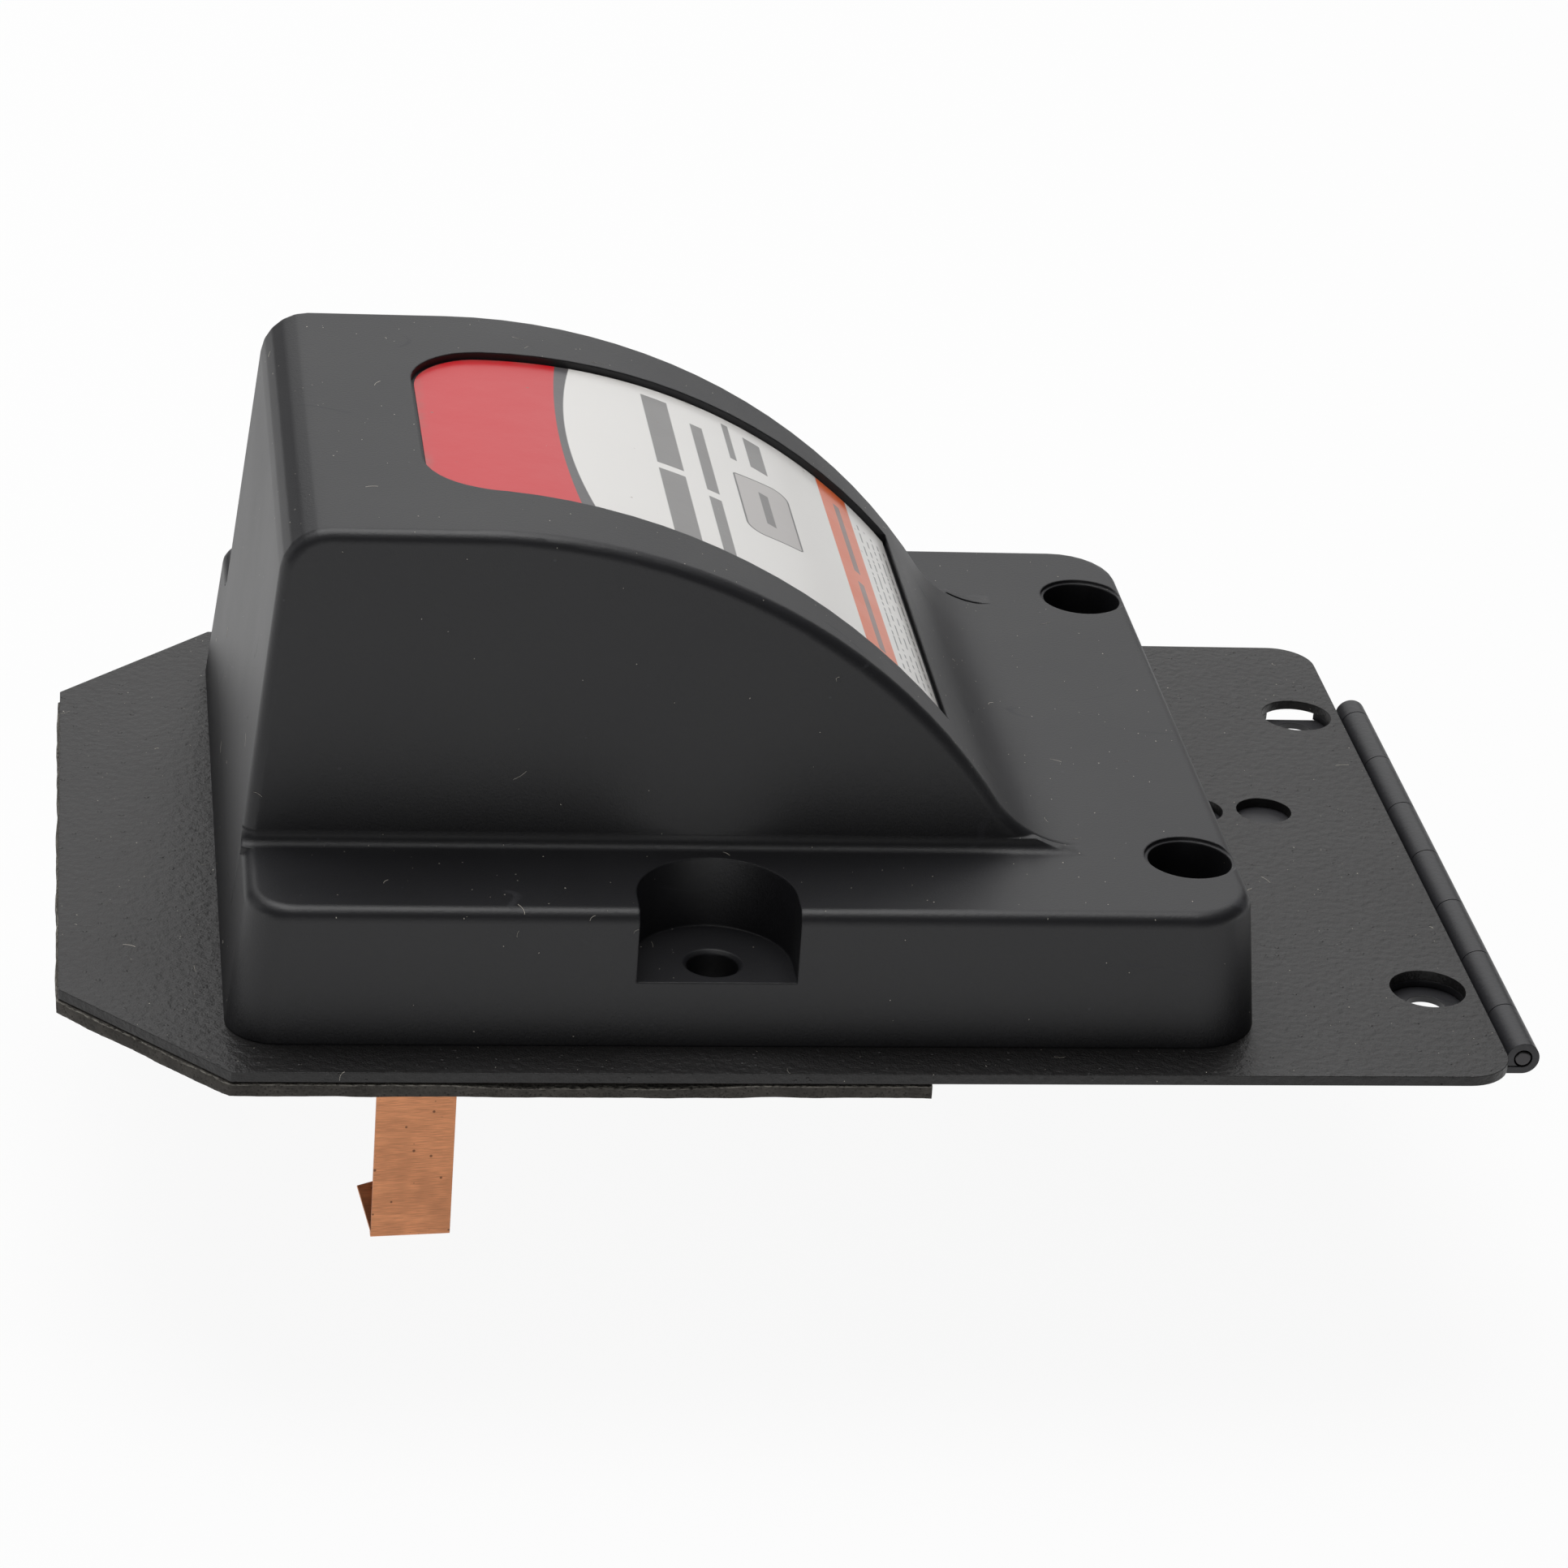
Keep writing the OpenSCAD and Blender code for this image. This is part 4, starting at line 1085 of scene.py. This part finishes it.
class IGNITER_OT_outlets(bpy.types.Operator):
    """Make the insulators, the threaded studs and the copper contacts"""

    bl_idname = "igniter.outlets"
    bl_label = "High-voltage outlets"

    def execute(self, context):
        look = context.scene.igniter_outlets
        copper = brushed_copper(look)
        ceramic = glazed_ceramic(look)
        brass = plain_finish("stud_brass", look.brass, 0.3, 1.0, 0.0003)
        for side, y in (("front", -OUTLET_Y), ("back", OUTLET_Y)):
            dressed(f"contact_{side}", f"strap_{side}", copper, SWINGING, "strap_copper")
            dressed(f"glazed_insulator_{side}", f"insulator_{side}", ceramic, SWINGING, "insulator_ceramic")
            low, high = (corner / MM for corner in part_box(f"stud_{side}"))
            rod = threaded_rod((high.x - low.x) / 2, low.z, high.z, look.pitch / MM)
            made = add_piece(f"threaded_stud_{side}", shifted(rod, OUTLET_X, y), brass)
            fit_in(smoothed(made, 50.0), SWINGING, "stud_brass", f"stud_{side}")
        return {"FINISHED"}


class IGNITER_OT_fasteners(bpy.types.Operator):
    """Set the cover screws and the strap nuts, and make the lead grommet"""

    bl_idname = "igniter.fasteners"
    bl_label = "Screws, nuts and grommet"

    def execute(self, context):
        look = context.scene.igniter_fasteners
        steel = plain_finish("plated_steel", look.steel, 0.32, 1.0, 0.0003, patches=0.003)
        rubber = plain_finish("grommet_rubber", look.rubber, 0.7, 0.0, 0.0005, 0.00003)
        screws = [(x, s * y, PLATE_UNDERSIDE) for x, y in SCREW_PLACES for s in (-1, 1)]
        pattern = screw_shape(look.slot / MM, steel)
        set_fasteners("screws", pattern, screws, look.seed, steel, SWINGING, "plated_steel", "cover_screws")
        nuts = [(OUTLET_X, s * OUTLET_Y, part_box("strap_nuts")[0].z / MM) for s in (-1, 1)]
        set_fasteners("nuts", nut_shape(steel), nuts, look.seed, steel, SWINGING, "plated_steel", "strap_nuts")
        dressed("rubber_grommet", "lead_grommet", rubber, SWINGING, "grommet_rubber")
        return {"FINISHED"}


class IGNITER_OT_inside(bpy.types.Operator):
    """Give the transformer and the circuit board inside the cover their finishes"""

    bl_idname = "igniter.inside"
    bl_label = "Inner pieces"

    def execute(self, context):
        for name, colour, gloss, metal, grain, depth, nodes in INNER_FINISHES:
            material = plain_finish(name, eye(*colour), gloss, metal, grain, depth)
            for node in nodes:
                paint_node(node, material)
        winding = wound_wire("winding_copper", eye(176, 96, 52), 0.4 * MM)
        for node in ("primary_winding", "secondary_front", "secondary_back", "coil_leads"):
            paint_node(node, winding)
        return {"FINISHED"}


class IGNITER_OT_dust(bpy.types.Operator):
    """Scatter dust and lint on the cover and the plate"""

    bl_idname = "igniter.dust"
    bl_label = "Dust and lint"

    def execute(self, context):
        look = context.scene.igniter_dust
        dust = plain_finish("dust", look.dust, 0.9, 0.0, 0.0002)
        tree = dust_tree()
        for offset, (name, node, slot) in enumerate(
            (("dust_on_cover", "cover", "cover_plastic"), ("dust_on_plate", "base_plate", "powder_coat"))
        ):
            made = add_piece(name, joined_copy(node), dust)
            run_tree(
                made,
                tree,
                {
                    "Flecks per area": look.flecks,
                    "Fleck radius": look.fleck,
                    "Lint per area": look.lint,
                    "Lint length": look.lint_length,
                    "Seed": look.seed + offset,
                    "Finish": dust,
                },
            )
            fit_in(made, SWINGING, slot)
        return {"FINISHED"}


class IGNITER_OT_studio(bpy.types.Operator):
    """Set up the camera, the lamps, the room's light and the pale floor"""

    bl_idname = "igniter.studio"
    bl_label = "Studio"

    def execute(self, context):
        look = context.scene.igniter_studio
        scene = context.scene
        scene.view_settings.view_transform = "Standard"
        scene.camera = self.camera(look)
        scene.world = self.world(look)
        for name, place, size in SOFT_BOXES:
            self.soft_box(f"{name}_box", place, size, getattr(look, name))
        self.floor(look)
        return {"FINISHED"}

    @staticmethod
    def camera(look):
        """A camera from its place and its three turns."""
        ahead = Vector((math.sin(look.yaw), math.cos(look.yaw), 0.0))
        view = ahead * math.cos(look.pitch) - Vector((0.0, 0.0, math.sin(look.pitch)))
        level = Vector((math.cos(look.yaw), -math.sin(look.yaw), 0.0))
        upright = level.cross(view)
        right = level * math.cos(look.roll) + upright * math.sin(look.roll)
        up = upright * math.cos(look.roll) - level * math.sin(look.roll)
        data = bpy.data.cameras.new("photo_camera")
        data.lens = look.lens
        data.sensor_width = 36
        data.clip_start = 0.05
        data.clip_end = 50
        made = add_object("photo_camera", data)
        made.matrix_world = Matrix((right, up, -view)).transposed().to_4x4()
        made.location = look.eye
        return made

    @staticmethod
    def world(look):
        """An even room, white where the camera sees it."""
        world = bpy.data.worlds.new("room")
        world.use_nodes = True
        w = Nodes(world.node_tree)
        w.tree.nodes.clear()
        rays = w.add("ShaderNodeLightPath")
        seen = rays.out("Is Camera Ray").most(rays.out("Is Transmission Ray"))
        room = w.add("ShaderNodeBackground", {}, {"Color": (1, 1, 1, 1), "Strength": look.sky})
        white = w.add("ShaderNodeBackground", {}, {"Color": (1, 1, 1, 1), "Strength": 1.0})
        w.add("ShaderNodeOutputWorld", {}, [w.add("ShaderNodeMixShader", {}, [seen, room, white])])
        return world

    @staticmethod
    def soft_box(name, place, size, power):
        """A square lamp that looks at the part."""
        data = bpy.data.lights.new(name, "AREA")
        data.size = size
        data.energy = power
        made = add_object(name, data)
        made.location = place
        made.rotation_euler = (Vector(LIT_PLACE) - Vector(place)).to_track_quat("-Z", "Y").to_euler()

    @staticmethod
    def floor(look):
        """A wide pale floor that shows white and keeps a soft shadow, and is clear from below."""
        f = Finish("floor")
        rays = f.add("ShaderNodeLightPath")
        seen = rays.out("Is Camera Ray").most(rays.out("Is Glossy Ray"))
        seen = seen.most(rays.out("Is Transmission Ray"))
        pale = f.add("ShaderNodeBsdfDiffuse", {}, {"Color": (0.86, 0.86, 0.86, 1)})
        white = f.add("ShaderNodeEmission", {}, {"Color": (1, 1, 1, 1), "Strength": 1.0})
        shown = f.add("ShaderNodeMixShader", {}, [seen * FLOOR_WHITE, pale, white])
        below = f.add("ShaderNodeNewGeometry").out("Backfacing")
        clear = f.add("ShaderNodeBsdfTransparent")
        surface = f.add("ShaderNodeMixShader", {}, [below, shown, clear])
        f.add("ShaderNodeOutputMaterial", {}, {"Surface": surface})
        shape = bmesh.new()
        corners = ((-1, -1), (1, -1), (1, 1), (-1, 1))
        places = [(x * FLOOR_REACH, y * FLOOR_REACH, -look.floor_z) for x, y in corners]
        shape.faces.new([shape.verts.new(place) for place in places])
        add_piece("floor", shape, f.material)


class IGNITER_PT_looks(bpy.types.Panel):
    """The looks of the ignition transformer"""

    bl_label = "Ignition transformer"
    bl_space_type = "VIEW_3D"
    bl_region_type = "UI"
    bl_category = "Igniter"

    def draw(self, context):
        for operator, group in PARTS.items():
            box = self.layout.box()
            box.operator(operator.bl_idname)
            if group:
                look = getattr(context.scene, group[0])
                for name in look.bl_rna.properties.keys():
                    if name not in ("name", "rna_type"):
                        box.prop(look, name)


PARTS = {
    IGNITER_OT_cover: ("igniter_cover", CoverLook),
    IGNITER_OT_label: ("igniter_label", LabelLook),
    IGNITER_OT_plate: ("igniter_plate", PlateLook),
    IGNITER_OT_gasket: ("igniter_gasket", GasketLook),
    IGNITER_OT_hinge: ("igniter_hinge", HingeLook),
    IGNITER_OT_outlets: ("igniter_outlets", OutletLook),
    IGNITER_OT_fasteners: ("igniter_fasteners", FastenerLook),
    IGNITER_OT_inside: None,
    IGNITER_OT_dust: ("igniter_dust", DustLook),
    IGNITER_OT_studio: ("igniter_studio", StudioLook),
}


def register():
    for operator, group in PARTS.items():
        bpy.utils.register_class(operator)
        if group:
            bpy.utils.register_class(group[1])
            setattr(bpy.types.Scene, group[0], PointerProperty(type=group[1]))
    bpy.utils.register_class(IGNITER_PT_looks)


def unregister():
    bpy.utils.unregister_class(IGNITER_PT_looks)
    for operator, group in PARTS.items():
        bpy.utils.unregister_class(operator)
        if group:
            delattr(bpy.types.Scene, group[0])
            bpy.utils.unregister_class(group[1])


def main():
    """Makes every piece."""
    register()
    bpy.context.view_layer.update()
    bpy.ops.igniter.studio()
    bpy.ops.igniter.cover()
    bpy.ops.igniter.label()
    bpy.ops.igniter.plate()
    bpy.ops.igniter.gasket()
    bpy.ops.igniter.hinge()
    bpy.ops.igniter.outlets()
    bpy.ops.igniter.fasteners()
    bpy.ops.igniter.inside()
    bpy.ops.igniter.dust()
    bpy.context.view_layer.update()


if __name__ == "__main__":
    main()
